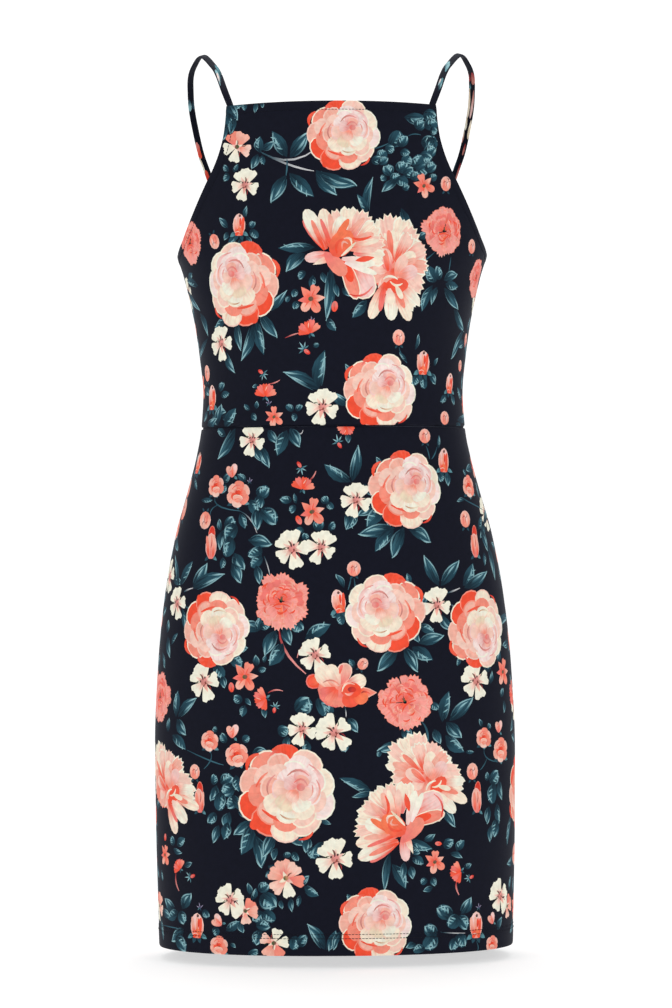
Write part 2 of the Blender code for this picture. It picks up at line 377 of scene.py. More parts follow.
# Small heights of the cloth's surface and how far each spreads, in metres, and the share of a
# stitch line's dip that comes and goes along it
SEAM_DIP = 0.0016
SEAM_SPREAD = 0.0012
EDGE_ROLL = 0.0005
EDGE_SPREAD = 0.0008
HEM_STEP = 0.00035
HEM_STEP_SPREAD = 0.0005
STITCH_DIP = 0.0005
RIPPLE = 0.3
STITCH_SPREAD = 0.0009
STITCH_PITCH = 0.0110

# How far along a crease fades, as a share of its length from its middle
CREASE_TAPER = 0.42

# Soft creases: where each starts and ends on the flat cloth, how wide and how high it is
Crease = namedtuple("Crease", "x z to_x to_z spread height")
CREASES = {
    "front_bodice": (
        Crease(-0.150, -0.215, -0.060, -0.245, 0.010, -0.0012),
        Crease(0.155, -0.210, 0.070, -0.250, 0.011, -0.0012),
        Crease(-0.140, -0.330, -0.030, -0.322, 0.007, -0.0009),
        Crease(0.150, -0.318, 0.050, -0.328, 0.008, -0.0010),
        Crease(-0.110, -0.345, 0.020, -0.343, 0.006, -0.0007),
        Crease(0.085, -0.120, 0.060, -0.190, 0.010, 0.0008),
        Crease(-0.080, -0.115, -0.066, -0.180, 0.010, 0.0007),
    ),
    "back_bodice": (
        Crease(-0.150, -0.300, -0.020, -0.312, 0.008, -0.0014),
        Crease(0.140, -0.322, 0.020, -0.330, 0.007, -0.0013),
        Crease(-0.100, -0.338, 0.060, -0.341, 0.006, -0.0010),
        Crease(0.130, -0.230, 0.050, -0.250, 0.010, -0.0009),
    ),
    "front_skirt": (
        Crease(-0.165, -0.385, -0.060, -0.398, 0.009, -0.0011),
        Crease(0.160, -0.380, 0.070, -0.400, 0.009, -0.0011),
        Crease(-0.120, -0.560, -0.100, -0.760, 0.016, 0.0010),
        Crease(0.110, -0.600, 0.125, -0.800, 0.018, 0.0011),
        Crease(-0.015, -0.620, -0.030, -0.830, 0.020, -0.0009),
    ),
    "back_skirt": (
        Crease(-0.150, -0.380, -0.030, -0.394, 0.009, -0.0016),
        Crease(0.150, -0.376, 0.020, -0.400, 0.010, -0.0015),
        Crease(-0.090, -0.600, -0.110, -0.800, 0.018, 0.0012),
        Crease(0.100, -0.620, 0.090, -0.820, 0.018, 0.0012),
    ),
}


def creased(name, places):
    """Return how far the creases of a panel lift its cloth at each place."""
    lift = np.zeros(len(places))
    for crease in CREASES.get(name, ()):
        start = np.array([crease.x, crease.z])
        along = np.array([crease.to_x, crease.to_z]) - start
        share = ((places - start) @ along) / (along @ along)
        near = np.clip(share, 0, 1)
        gap = np.linalg.norm(places - start - near[:, None] * along, axis=1)
        taper = np.exp(-((share - 0.5) / CREASE_TAPER) ** 4)
        lift += crease.height * taper * np.exp(-(gap / crease.spread) ** 2)
    return lift


def facing(points_of, places, step):
    """Return the directions that a surface faces, from its points a step to each side."""
    right = points_of(places + (step, 0))
    left = points_of(places - (step, 0))
    up = points_of(places + (0, step))
    down = points_of(places - (0, step))
    out = np.cross(right - left, up - down)
    return out / np.maximum(np.linalg.norm(out, axis=1), TINY)[:, None]


def run_lengths(line):
    """Return how far along a line of points each of them lies."""
    return np.concatenate([[0], np.cumsum(np.linalg.norm(np.diff(line, axis=0), axis=1))])


class Panel:
    """One flat pattern piece and the way it lies on the figure."""

    def __init__(self, name, side, outline, hems, seams):
        self.name = name
        self.form = FORMS[side]
        self.outline = outline
        self.hems = hems
        self.seams = seams

    def relief(self, places):
        """Return how far the cloth stands out from the smooth figure at each place."""
        lift = creased(self.name, places)
        for seam in self.seams:
            lift = lift - SEAM_DIP * np.exp(-(seam(places) / SEAM_SPREAD) ** 2)
        for gap_from, depth in self.hems:
            gap = gap_from(places)
            lift = lift - EDGE_ROLL * np.exp(-(gap / EDGE_SPREAD) ** 2)
            past = (gap - depth - STITCH_SPREAD) / HEM_STEP_SPREAD
            lift = lift + HEM_STEP / (1 + np.exp(past))
            ripple = 1 - RIPPLE + RIPPLE * np.cos(2 * math.pi * places.sum(1) / STITCH_PITCH)
            lift = lift - STITCH_DIP * ripple * np.exp(-((gap - depth) / STITCH_SPREAD) ** 2)
        return lift

    def turned(self, places):
        """Return whether each place lies on a turned and stitched hem."""
        found = np.zeros(len(places), bool)
        for gap_from, depth in self.hems:
            found |= gap_from(places) < depth
        return found

    def smooth(self, places):
        """Return the figure's points and outward directions at places on the flat cloth."""
        here = self.form.points(places[:, 0], places[:, 1])
        reach = self.form.half_length(places[:, 1]) - 2 * SMOOTH_STEP
        clear = np.stack([np.clip(places[:, 0], -reach, reach), places[:, 1]], 1)
        return here, facing(lambda at: self.form.points(at[:, 0], at[:, 1]), clear, SMOOTH_STEP)

    def surface(self, places):
        """Return the cloth's outer points and the figure's outward directions."""
        here, out = self.smooth(places)
        return here + out * self.relief(places)[:, None], out

    def normals(self, places):
        """Return the directions in which the creased cloth itself faces."""
        return facing(lambda at: self.surface(at)[0], places, NORMAL_STEP)


def below_line(level_of_share, reach):
    """Return a function that measures how far below a top edge each place lies."""
    return lambda places: level_of_share(np.clip(places[:, 0] / reach, -1, 1)) - places[:, 1]


def from_sides(side):
    """Return a function that measures how far each place lies from the side seams."""
    form = FORMS[side]
    return lambda places: form.half_length(places[:, 1]) - np.abs(places[:, 0])


# How steeply a distance grows past where its line ends, and how near an armhole one is measured
OUT_OF_REACH = 9
ARMHOLE_NEAR = 0.02
FAR = 1.0


def side_seams(side):
    """Return the same, but out of reach above the underarm, where no seam runs."""
    gap = from_sides(side)
    return lambda places: gap(places) + np.maximum(places[:, 1] - UNDERARM_LEVEL, 0) * OUT_OF_REACH


def from_level(level):
    """Return a function that measures how far above or below a level each place lies."""
    return lambda places: np.abs(places[:, 1] - level)


def from_armholes():
    """Return a function that measures how far each place lies from the nearer armhole."""
    hole = armhole_line()

    def gap(places):
        """Measure only near the armholes, since the rest lies far from them."""
        found = np.full(len(places), FAR)
        near = places[:, 1] > UNDERARM_LEVEL - ARMHOLE_NEAR
        folded = np.abs(places[near] * (1.0, 0.0)) + places[near] * (0.0, 1.0)
        found[near] = line_distance(folded, hole)
        return found

    return gap


def make_panels():
    """Return the four panels by name."""
    neck_reach = float(armhole_line()[-1, 0])
    back_reach = float(FORMS["back"].half_length(UNDERARM_LEVEL))
    hem = from_level(HEM_LEVEL)
    waist = from_level(WAIST_LEVEL)
    neck_hem = (below_line(neck_level, neck_reach), NECK_HEM_DEPTH)
    armhole_hem = (from_armholes(), ARMHOLE_HEM_DEPTH)
    back_hem = (below_line(back_level, back_reach), BACK_HEM_DEPTH)
    rows = (
        ("front_bodice", "front", front_bodice_outline(), (neck_hem, armhole_hem)),
        ("back_bodice", "back", back_bodice_outline(), (back_hem,)),
        ("front_skirt", "front", skirt_outline("front"), ((hem, HEM_DEPTH),)),
        ("back_skirt", "back", skirt_outline("back"), ((hem, HEM_DEPTH),)),
    )
    panels = {}
    for name, side, outline, hems in rows:
        panels[name] = Panel(name, side, outline, hems, (waist, side_seams(side)))
    return panels


def grid_places(panel, step):
    """Return a grid of places that covers a panel's outline."""
    low = panel.outline.min(0)
    high = panel.outline.max(0)
    across = np.arange(low[0] + step / 2, high[0], step)
    up = np.arange(low[1] + step / 2, high[1], step)
    return np.stack(np.meshgrid(across, up), -1).reshape(-1, 2)


def inset_outline(outline, distance):
    """Return an outline's points moved inwards, leaving out what folds at the corners."""
    ahead = np.roll(outline, -1, 0) - np.roll(outline, 1, 0)
    inward = np.stack([-ahead[:, 1], ahead[:, 0]], 1)
    inward /= np.linalg.norm(inward, axis=1)[:, None]
    moved = outline + inward * distance
    keep = line_distance(moved, closed(outline)) > distance * 0.9
    return moved[keep]


def dense_outline(outline):
    """Return an outline with a point added in the middle of each step."""
    halfway = (outline + np.roll(outline, -1, 0)) / 2
    return np.stack([outline, halfway], 1).reshape(-1, 2)


def fine_places(panel):
    """Return the extra places that let seams, rolled edges and stitch lines show."""
    found = [inset_outline(panel.outline, distance) for distance in EDGE_LINES]
    dense = dense_outline(panel.outline)
    for gap_from, depth in panel.hems:
        on_edge = dense[gap_from(dense) < EDGE_LINES[0]]
        for offset in STITCH_LINES:
            moved = inset_outline(dense, depth + offset)
            near = np.abs(gap_from(moved) - depth - offset) < LINE_REACH
            if len(on_edge):
                found.append(moved[near])
    return np.vstack(found)


# Half-outlines of petals and leaves, as pairs of a share of the length and of the half width
SHAPES = {
    "round": ((0, 0.2), (0.15, 0.56), (0.4, 0.92), (0.65, 1), (0.85, 0.82), (0.96, 0.46), (1, 0)),
    "notch": ((0, 0.14), (0.3, 0.5), (0.62, 0.86), (0.8, 1), (0.88, 0.92), (0.99, 0.5), (0.9, 0.16),
              (0.94, 0)),
    "ragged": ((0, 0.2), (0.3, 0.6), (0.56, 0.94), (0.74, 1), (0.92, 0.86), (0.85, 0.5),
               (1.0, 0.32), (0.93, 0.04), (0.94, 0)),
    "narrow": ((0, 0.3), (0.3, 0.8), (0.6, 1), (0.85, 0.8), (0.97, 0.4), (1, 0)),
    "point": ((0, 0.5), (0.3, 1), (0.6, 0.72), (0.85, 0.3), (1, 0)),
    "leaf": ((0, 0), (0.1, 0.36), (0.28, 0.82), (0.48, 1), (0.68, 0.84), (0.86, 0.42), (1, 0)),
    "oval": ((0, 0.3), (0.12, 0.66), (0.32, 0.96), (0.55, 1), (0.78, 0.8), (0.93, 0.46), (1, 0)),
    "ball": ((0, 0), (0.07, 0.5), (0.25, 0.87), (0.5, 1), (0.75, 0.87), (0.93, 0.5), (1, 0)),
}

# One flat patch of the print: its outline, and the way along which its colour runs
Patch = namedtuple("Patch", "outline base tip half_width low high streak seed")

# One petal of a flower of radius 1: its shape, foot, the way it points, its size and colours
Part = namedtuple("Part", "shape x y turn length width low high rim", defaults=(None,))

# One thin line of a flower: where it starts, the point it bends through, its end and its width
Line = namedtuple("Line", "x y by_x by_y to_x to_y width low high", defaults=(ROSE_BROWN, SALMON))


def heading(degrees):
    """Return the direction at an angle, where 0 points right and 90 up."""
    return np.array([math.cos(math.radians(degrees)), math.sin(math.radians(degrees))])


def blade(shape, base, degrees, length, width, bend=0.0, sides=(1, -1)):
    """Return the outline of a petal or leaf, and its tip."""
    rows = np.array(SHAPES[shape])
    along = heading(degrees)
    across = np.array([-along[1], along[0]])
    bow = 4 * rows[:, 0] * (1 - rows[:, 0]) * bend * length
    middle = base + rows[:, :1] * length * along + bow[:, None] * across
    first = middle + sides[0] * rows[:, 1:] * width / 2 * across
    second = middle + sides[1] * rows[:, 1:] * width / 2 * across
    if rows[-1, 1] == 0:
        second = second[:-1]
    if rows[0, 1] == 0:
        second = second[1:]
    return np.vstack([first, second[::-1]]), base + along * length


# How unevenly petals grow, and how much a rim takes off the length and the width of a body
PETAL_SPREAD = 0.05
RAGGED_SPREAD = 0.1
RIM_OFF_LENGTH = 1.3
RIM_OFF_WIDTH = 2.0


class Brush:
    """Draws one motif, of radius about 1, at its own place, size and turn on the cloth."""

    def __init__(self, patches, place, size, degrees, seed, over=False):
        self.patches = patches
        self.place = np.array(place)
        self.size = size
        self.turned = heading(degrees)
        self.flip = np.array([1.0, -1.0]) if over else np.array([1.0, 1.0])
        self.random = random.Random(seed)

    def onto(self, points):
        """Return the motif's own points as places on the cloth."""
        points = np.atleast_2d(points) * self.size * self.flip
        cos, sin = self.turned
        turned = np.stack([points[:, 0] * cos - points[:, 1] * sin,
                           points[:, 0] * sin + points[:, 1] * cos], 1)
        return self.place + turned

    def lay(self, outline, base, tip, half_width, low, high, streak=0.5):
        """Lay one patch on the cloth, over what is already there."""
        self.patches.append(Patch(
            self.onto(outline), self.onto(base)[0], self.onto(tip)[0],
            half_width * self.size, low, high, streak, self.random.random(),
        ))

    def petal(self, shape, base, degrees, length, width, low, high,
              rim=None, rim_size=0.026, bend=0.0, streak=0.5):
        """Lay a petal, with a rim of another colour round its body if one is given."""
        base = np.array(base, float)
        wobble = self.random.uniform
        spread = RAGGED_SPREAD if shape == "ragged" else PETAL_SPREAD
        length *= wobble(1 - spread, 1 + spread)
        width *= wobble(0.94, 1.06)
        degrees += wobble(-3, 3)
        if rim is not None:
            outline, tip = blade(shape, base, degrees, length, width, bend)
            self.lay(outline, base, tip, width / 2, rim, rim, 0.0)
            length -= rim_size * RIM_OFF_LENGTH
            width -= rim_size * RIM_OFF_WIDTH
        outline, tip = blade(shape, base, degrees, length, width, bend)
        self.lay(outline, base, tip, width / 2, low, high, streak)

    def draw(self, parts):
        """Lay the petals and the lines of a flower in their order."""
        for part in parts:
            if isinstance(part, Line):
                self.stroke(part[0:2], part[2:4], part[4:6], part.width, part.low, part.high)
            else:
                self.petal(part.shape, (part.x, part.y), part.turn, part.length, part.width,
                           part.low, part.high, part.rim)

    def ring(self, shape, count, inner, outer, width, low, high, start=0.0, centre=(0, 0), **more):
        """Lay petals all round a centre."""
        for step in range(count):
            degrees = start + 360 * (step + self.random.uniform(-0.2, 0.2)) / count
            reach = outer * self.random.uniform(0.86, 1.06)
            base = np.array(centre) + heading(degrees) * inner
            self.petal(shape, base, degrees, reach - inner, width, low, high, **more)

    def stroke(self, start, middle, end, width, low, high, streak=0.2, count=6):
        """Lay a thin curved stroke that runs through a middle point and thins at its ends."""
        start, middle, end = (np.array(point, float) for point in (start, middle, end))
        shares = np.linspace(0, 1, count)[:, None]
        control = 2 * middle - (start + end) / 2
        line = (start * (1 - shares) ** 2 + 2 * control * shares * (1 - shares)
                + end * shares ** 2)
        ahead = 2 * (1 - shares) * (control - start) + 2 * shares * (end - control)
        across = np.stack([-ahead[:, 1], ahead[:, 0]], 1)
        across /= np.maximum(np.linalg.norm(across, axis=1), 1e-9)[:, None]
        half = width / 2 * (0.35 + 0.65 * np.sin(math.pi * shares))
        outline = np.vstack([line + across * half, (line - across * half)[::-1]])
        self.lay(outline, start, end, width / 2, low, high, streak)


def layer(shape, x, y, inner, reach, width, start, colours):
    """Return a ring of petals round a middle, with one petal for each row of colours."""
    petals = []
    for number, row in enumerate(colours):
        turn = start + 360 * number / len(colours)
        foot_x, foot_y = heading(turn) * inner
        petals.append(Part(shape, x + foot_x, y + foot_y, turn, reach - inner, width, *row))
    return tuple(petals)


# A large round peony: five rings of petals, red at the top and the lower left, pale at the right
PEONY = (
    Part("ball", 0.0, -0.74, 90, 1.48, 1.48, SALMON, PEACH),
    *layer("round", 0.0, 0.0, 0.3, 0.98, 0.64, 104, (
        (SALMON, RED_CORAL, CORAL), (PEACH, SALMON, CREAM), (PINK, PEACH, PALE),
        (CORAL, RED_CORAL, CREAM), (CORAL, RED_CORAL, SALMON), (ORANGE, CREAM, PALE),
        (PEACH, PALE, CREAM), (PEACH, MILK, IVORY), (PEACH, CREAM, IVORY), (SALMON, PALE, CREAM),
    )),
    Line(-0.88, 0.26, -0.88, 0.48, -0.72, 0.64, 0.1, RED_CORAL, CORAL),
    Line(-0.5, 0.66, -0.38, 0.78, -0.26, 0.76, 0.07, PINK, CORAL),
    Line(0.46, -0.82, 0.62, -0.74, 0.7, -0.6, 0.06, RED, CORAL),
    Part("narrow", -0.3, -0.5, 238, 0.4, 0.22, RED_CORAL, RED_CORAL),
    *layer("round", 0.03, 0.03, 0.2, 0.79, 0.52, 120, (
        (CORAL, PEACH, PALE), (SALMON, PALE), (RED_CORAL, SALMON), (CORAL, PEACH, SALMON),
        (CORAL, SALMON), (SALMON, PALE, CREAM), (SALMON, PALE), (ROSE, SHELL, IVORY),
        (PINK, MILK),
    )),
    Line(-0.62, -0.02, -0.56, 0.18, -0.44, 0.34, 0.05, CORAL, SALMON),
    Line(0.3, 0.68, 0.54, 0.56, 0.66, 0.34, 0.045, ROSE, SHELL),
    Line(-0.4, -0.42, -0.2, -0.5, 0.02, -0.56, 0.06, RED_CORAL, CORAL),
    *layer("round", 0.08, 0.07, 0.14, 0.63, 0.46, 95, (
        (ROSE, MILK, IVORY), (SALMON, PALE), (SALMON, PEACH, PALE), (PEACH, CREAM),
        (PEACH, IVORY, CREAM), (PEACH, CREAM), (ROSE, SHELL, MILK), (ROSE, MILK),
    )),
    Line(-0.34, -0.1, -0.4, 0.1, -0.3, 0.32, 0.045, ROSE_BROWN, ROSE),
    Line(0.52, 0.42, 0.64, 0.2, 0.56, -0.06, 0.045, ROSE, PEACH),
    Line(-0.02, -0.42, 0.16, -0.47, 0.36, -0.4, 0.04, BRONZE, STRAW),
    *layer("round", 0.14, 0.12, 0.1, 0.47, 0.4, 130, (
        (ROSE, MILK), (PEACH, PALE, SHELL), (PEACH, STRAW), (PALE, IVORY), (ROSE, MILK, SHELL),
        (ROSE, SHELL),
    )),
    Line(-0.06, 0.36, 0.12, 0.52, 0.36, 0.46, 0.05, ROSE_BROWN, ROSE),
    Line(0.46, 0.3, 0.5, 0.14, 0.42, -0.02, 0.04, ROSE, PEACH),
    *layer("round", 0.2, 0.16, 0.04, 0.3, 0.28, 160, (
        (ROSE, SHELL), (SALMON, PALE), (PEACH, PALE), (ROSE, PEACH),
    )),
    Part("ball", 0.17, 0.2, 0, 0.17, 0.15, PINK, ROSE),
    Line(0.1, 0.26, 0.24, 0.36, 0.38, 0.26, 0.045, PINK, ROSE),
)

# A ruffled peony, open to the right: long striped petals at the left, a coral curl, a wide cup
RUFFLED = (
    Part("ragged", 0.02, 0.2, 104, 0.8, 0.4, CORAL, PALE, CREAM),
    Part("notch", 0.1, 0.2, 84, 0.82, 0.42, CORAL, CREAM, IVORY),
    Part("ragged", 0.2, 0.2, 62, 0.76, 0.44, PINK, PALE, CREAM),
    Part("notch", 0.24, 0.1, 38, 0.76, 0.44, CORAL, CREAM, IVORY),
    Part("ragged", 0.24, 0.0, 14, 0.78, 0.44, CORAL, PALE, CREAM),
    Part("notch", 0.24, -0.1, -10, 0.76, 0.42, PINK, CREAM, IVORY),
    Part("round", 0.16, -0.24, -62, 0.98, 0.66, CORAL, SHELL, CREAM),
    Part("round", 0.0, -0.2, -74, 0.98, 0.34, RED_CORAL, SALMON, CREAM),
    Part("narrow", 0.04, -0.3, -72, 0.5, 0.2, RED_CORAL, RED_CORAL),
    Line(0.14, -1.04, 0.44, -1.06, 0.68, -0.86, 0.05, RED, PINK),
    Part("narrow", -0.42, -0.02, 124, 0.84, 0.18, RED_CORAL, PINK),
    Part("round", -0.38, 0.0, 116, 1.02, 0.36, CORAL, IVORY),
    Part("narrow", -0.44, 0.02, 114, 0.72, 0.12, RED_CORAL, SALMON),
    Part("round", -0.26, 0.0, 103, 0.96, 0.34, CORAL, CREAM),
    Part("narrow", -0.26, 0.04, 108, 0.7, 0.1, RED_CORAL, PINK),
    Part("narrow", -0.2, 0.1, 98, 0.74, 0.14, SALMON, PEACH),
    Part("round", -0.16, 0.1, 74, 0.7, 0.36, ORANGE, IVORY),
    Part("narrow", -0.24, 0.08, 56, 0.7, 0.16, RED_CORAL, ORANGE),
    Part("narrow", 0.0, 0.2, 44, 0.7, 0.14, CORAL, PEACH),
    Part("round", -0.24, -0.12, 187, 0.66, 0.26, RED_CORAL, SHELL),
    Part("point", -0.3, -0.2, 204, 0.42, 0.16, SALMON, CREAM),
    Part("round", -0.42, -0.08, -44, 0.74, 0.36, PINK, SALMON),
    Part("round", 0.08, 0.1, 24, 0.7, 0.2, CORAL, PEACH),
    Part("narrow", 0.14, 0.06, 12, 0.68, 0.14, SALMON, CREAM),
    Part("narrow", 0.14, -0.02, 2, 0.66, 0.16, SALMON, PALE),
    Part("ball", -0.24, -0.16, 52, 0.68, 0.5, CORAL, ORANGE),
    Line(-0.14, -0.1, -0.14, 0.12, 0.02, 0.24, 0.07, RED_CORAL, CORAL),
    Line(0.02, 0.24, 0.16, 0.24, 0.2, 0.1, 0.06, PEACH, CREAM),
    Line(-0.02, 0.0, 0.0, 0.16, 0.12, 0.12, 0.05, SALMON, PEACH),
    Line(-0.04, -0.16, 0.12, -0.02, 0.3, 0.16, 0.07, CREAM, STRAW),
    Line(0.22, 0.26, 0.42, 0.22, 0.66, 0.3, 0.07, RED_CORAL, CORAL),
    Part("narrow", -0.02, -0.22, -12, 0.8, 0.22, SHELL, IVORY),
    Part("leaf", 0.28, -0.27, 12, 0.44, 0.13, RED_CORAL, CORAL),
    Part("narrow", 0.04, -0.32, -20, 0.76, 0.16, MILK, IVORY),
)

# A shaggy peony: jagged pale petals all round, with a coral heart low down and long ones below
SHAGGY = (
    Part("ball", 0.06, -0.6, 90, 1.3, 1.2, CORAL, PEACH),
    Part("ragged", -0.1, 0.1, 150, 0.62, 0.44, CORAL, PALE, CREAM),
    Part("notch", -0.05, 0.2, 120, 0.72, 0.4, CORAL, CREAM, IVORY),
    Part("ragged", 0.0, 0.2, 98, 0.78, 0.42, PINK, PALE, CREAM),
    Part("notch", 0.05, 0.2, 76, 0.76, 0.42, CORAL, CREAM, IVORY),
    Part("ragged", 0.05, 0.15, 54, 0.74, 0.42, CORAL, PALE, CREAM),
    Part("notch", 0.1, 0.05, 30, 0.62, 0.44, PINK, CREAM, IVORY),
    Part("ragged", 0.1, 0.0, 6, 0.62, 0.44, CORAL, PALE, CREAM),
    Part("notch", 0.1, -0.1, -18, 0.62, 0.42, CORAL, CREAM, IVORY),
    Part("ragged", 0.1, -0.15, -38, 0.72, 0.4, PINK, PALE, CREAM),
    Part("notch", 0.1, -0.2, -58, 0.8, 0.36, CORAL, CREAM, IVORY),
    Part("ragged", -0.05, -0.1, 190, 0.5, 0.46, CORAL, PALE, CREAM),
    *layer("ragged", 0.08, 0.04, 0.14, 0.7, 0.34, 100, (
        (PINK, CREAM), (CORAL, PEACH), (CORAL, SALMON), (PINK, PEACH), (CORAL, PALE),
        (CORAL, PEACH, CREAM), (PINK, PALE), (CORAL, PEACH, IVORY), (PINK, PALE),
        (CORAL, PALE, IVORY),
    )),
    *layer("round", 0.06, -0.04, 0.08, 0.48, 0.26, 84, (
        (CORAL, CREAM), (CORAL, PEACH), (SALMON, PALE), (CORAL, PEACH), (SALMON, CREAM),
        (CORAL, PALE), (PINK, PEACH),
    )),
    Part("narrow", -0.1, 0.1, 112, 0.6, 0.18, CORAL, PEACH),
    Part("narrow", -0.02, 0.16, 96, 0.5, 0.13, CORAL, SALMON),
    Part("narrow", 0.06, 0.1, 62, 0.56, 0.18, CORAL, PALE),
    Part("round", 0.06, -0.05, 36, 0.5, 0.26, SALMON, CREAM),
    Part("narrow", 0.1, -0.06, 20, 0.44, 0.14, CORAL, PEACH),
    Part("round", -0.08, -0.15, 108, 0.5, 0.28, PINK, PALE),
    Part("narrow", -0.1, -0.14, 98, 0.42, 0.12, RED_CORAL, SALMON),
    Part("round", 0.06, -0.24, 66, 0.46, 0.26, SALMON, PALE),
    Part("round", 0.12, -0.26, 20, 0.44, 0.28, SALMON, SHELL),
    Part("round", -0.16, -0.36, -112, 0.76, 0.27, CORAL, CREAM),
    Part("narrow", -0.16, -0.36, -104, 0.56, 0.13, RED_CORAL, PINK),
    Part("round", -0.04, -0.4, -92, 0.74, 0.29, SALMON, IVORY),
    Part("round", 0.06, -0.4, -68, 0.8, 0.27, CORAL, CREAM),
    Part("narrow", 0.06, -0.48, -62, 0.44, 0.12, RED_CORAL, SALMON),
    Part("round", 0.16, -0.4, -40, 0.54, 0.22, SALMON, IVORY),
    Part("ball", -0.18, -0.46, 6, 0.5, 0.3, RED_CORAL, CORAL),
    Part("narrow", -0.08, -0.48, -82, 0.34, 0.2, PALE, CREAM),
    Part("narrow", 0.06, -0.42, -60, 0.3, 0.12, STRAW, CREAM),
    Line(-0.2, -0.3, -0.06, -0.24, 0.1, -0.3, 0.05, CREAM, IVORY),
    Line(-0.06, -0.34, 0.06, -0.42, 0.2, -0.38, 0.05, STRAW, CREAM),
)

# A coral rose on its side: wide cream petals above, a deep coral heart, a pointed one at the right
ROSE_FLOWER = (
    Part("round", -0.4, 0.12, 176, 0.5, 0.42, CORAL, RED_CORAL, PINK),
    Part("round", -0.5, 0.2, 200, 0.36, 0.24, ORANGE, CORAL),
    Part("point", 0.5, -0.2, 0, 0.54, 0.36, CORAL, SALMON, PEACH),
    Part("ball", -0.1, -0.6, 90, 1.0, 1.0, PINK, SALMON),
    Part("round", 0.2, -0.05, 24, 0.58, 0.44, PINK, CREAM),
    Part("round", 0.05, 0.05, 74, 0.58, 0.42, PINK, PEACH, PALE),
    Part("round", -0.05, -0.05, 136, 0.74, 0.56, SALMON, CREAM),
    Part("round", 0.0, 0.0, 112, 0.64, 0.36, PEACH, CREAM),
    Line(0.02, 0.34, 0.06, 0.5, 0.1, 0.58, 0.09, CORAL, PINK),
    Line(-0.44, 0.1, -0.2, 0.16, 0.02, 0.02, 0.05, ROSE_BROWN, SALMON),
    Part("ragged", -0.1, -0.05, 205, 0.46, 0.34, CORAL, PINK),
    Part("ragged", -0.05, -0.1, -120, 0.46, 0.36, CORAL, SALMON),
    Part("ragged", 0.1, -0.2, -100, 0.38, 0.34, PINK, SALMON),
    Part("round", 0.3, -0.1, -84, 0.5, 0.5, RED_CORAL, CORAL),
    Part("round", 0.4, -0.1, -48, 0.52, 0.4, RED_CORAL, ORANGE),
    Part("ball", 0.04, -0.1, 0, 0.56, 0.44, CORAL, RED_CORAL),
    Line(0.08, -0.16, 0.2, 0.06, 0.44, 0.04, 0.06, CREAM, PEACH),
    Line(0.16, -0.2, 0.3, -0.24, 0.42, -0.12, 0.07, PEACH, PINK),
    Part("ball", 0.24, -0.1, 0, 0.24, 0.16, MAROON, RED),
    Line(0.62, -0.2, 0.72, -0.16, 0.86, -0.22, 0.05, MAROON, CORAL),
)

# A small open blossom: a wide two-lobed petal above, four smaller ones, a rosy heart
BLOSSOM = (
    Part("notch", 0.02, 0.0, 114, 0.98, 0.9, CREAM, IVORY),
    Part("notch", 0.06, 0.0, 66, 0.98, 0.9, CREAM, IVORY),
    Part("notch", -0.08, 0.0, 188, 0.84, 0.76, PALE, IVORY),
    Part("notch", 0.06, -0.04, -22, 0.82, 0.8, CREAM, IVORY),
    Part("notch", -0.04, -0.08, -104, 0.94, 0.76, CREAM, IVORY),
    Line(0.3, 0.06, 0.46, 0.02, 0.62, 0.12, 0.05, DARK, MOSS),
    Line(0.12, -0.2, 0.16, -0.4, 0.12, -0.6, 0.06, DARK, MAROON),
    Line(-0.2, 0.2, -0.34, 0.24, -0.46, 0.2, 0.05, DARK, MOSS),
    Part("point", 0.0, 0.0, 118, 0.56, 0.2, ROSE_BROWN, PALE),
    Part("point", 0.0, 0.0, 62, 0.5, 0.2, ROSE_BROWN, PALE),
    Part("point", 0.0, 0.0, 12, 0.52, 0.22, ROSE, PALE),
    Part("point", 0.0, 0.0, -42, 0.54, 0.22, ROSE_BROWN, PALE),
    Part("point", 0.0, 0.0, -100, 0.6, 0.24, ROSE, PEACH),
    Part("point", 0.0, 0.0, -160, 0.5, 0.22, ROSE_BROWN, PALE),
    Part("ball", -0.18, -0.04, 20, 0.4, 0.34, ROSE_BROWN, ROSE),
    Part("ball", -0.2, 0.1, 40, 0.13, 0.1, BROWN, DARK),
    Part("ball", 0.14, 0.1, 40, 0.13, 0.1, BROWN, DARK),
    Part("ball", 0.02, -0.12, 40, 0.12, 0.1, MAROON, BROWN),
    Part("ball", -0.16, -0.2, 40, 0.1, 0.08, BROWN, DARK),
    Line(0.02, 0.1, 0.08, 0.28, 0.04, 0.46, 0.1, DARK, BROWN),
    Line(-0.1, -0.2, 0.02, -0.14, 0.16, -0.22, 0.05, MAROON, BROWN),
)

# The same blossom flushed pink above
ROSY_BLOSSOM = (
    Part("notch", 0.02, 0.0, 114, 0.96, 0.9, PINK, SALMON),
    Part("notch", 0.06, 0.0, 62, 0.94, 0.9, SALMON, PEACH),
    Part("notch", -0.08, 0.0, 188, 0.84, 0.76, CREAM, IVORY),
    Part("notch", 0.06, -0.04, -22, 0.84, 0.8, SALMON, PALE),
    Part("notch", -0.04, -0.08, -104, 0.9, 0.76, CREAM, IVORY),
    Line(0.3, 0.06, 0.46, 0.02, 0.62, 0.12, 0.05, DARK, MOSS),
    Line(0.12, -0.2, 0.16, -0.4, 0.12, -0.6, 0.06, DARK, MAROON),
    Part("point", 0.0, 0.0, 90, 0.44, 0.2, PEACH, CREAM),
    Part("point", 0.0, 0.0, 20, 0.4, 0.18, PEACH, CREAM),
    Part("point", 0.0, 0.0, -60, 0.4, 0.2, ROSE, PALE),
    Part("point", 0.0, 0.0, 160, 0.4, 0.2, ROSE, PALE),
    Part("ball", -0.14, -0.04, 20, 0.3, 0.26, BROWN, MOSS),
    Line(0.02, 0.1, 0.06, 0.26, 0.04, 0.4, 0.07, DARK, BROWN),
)

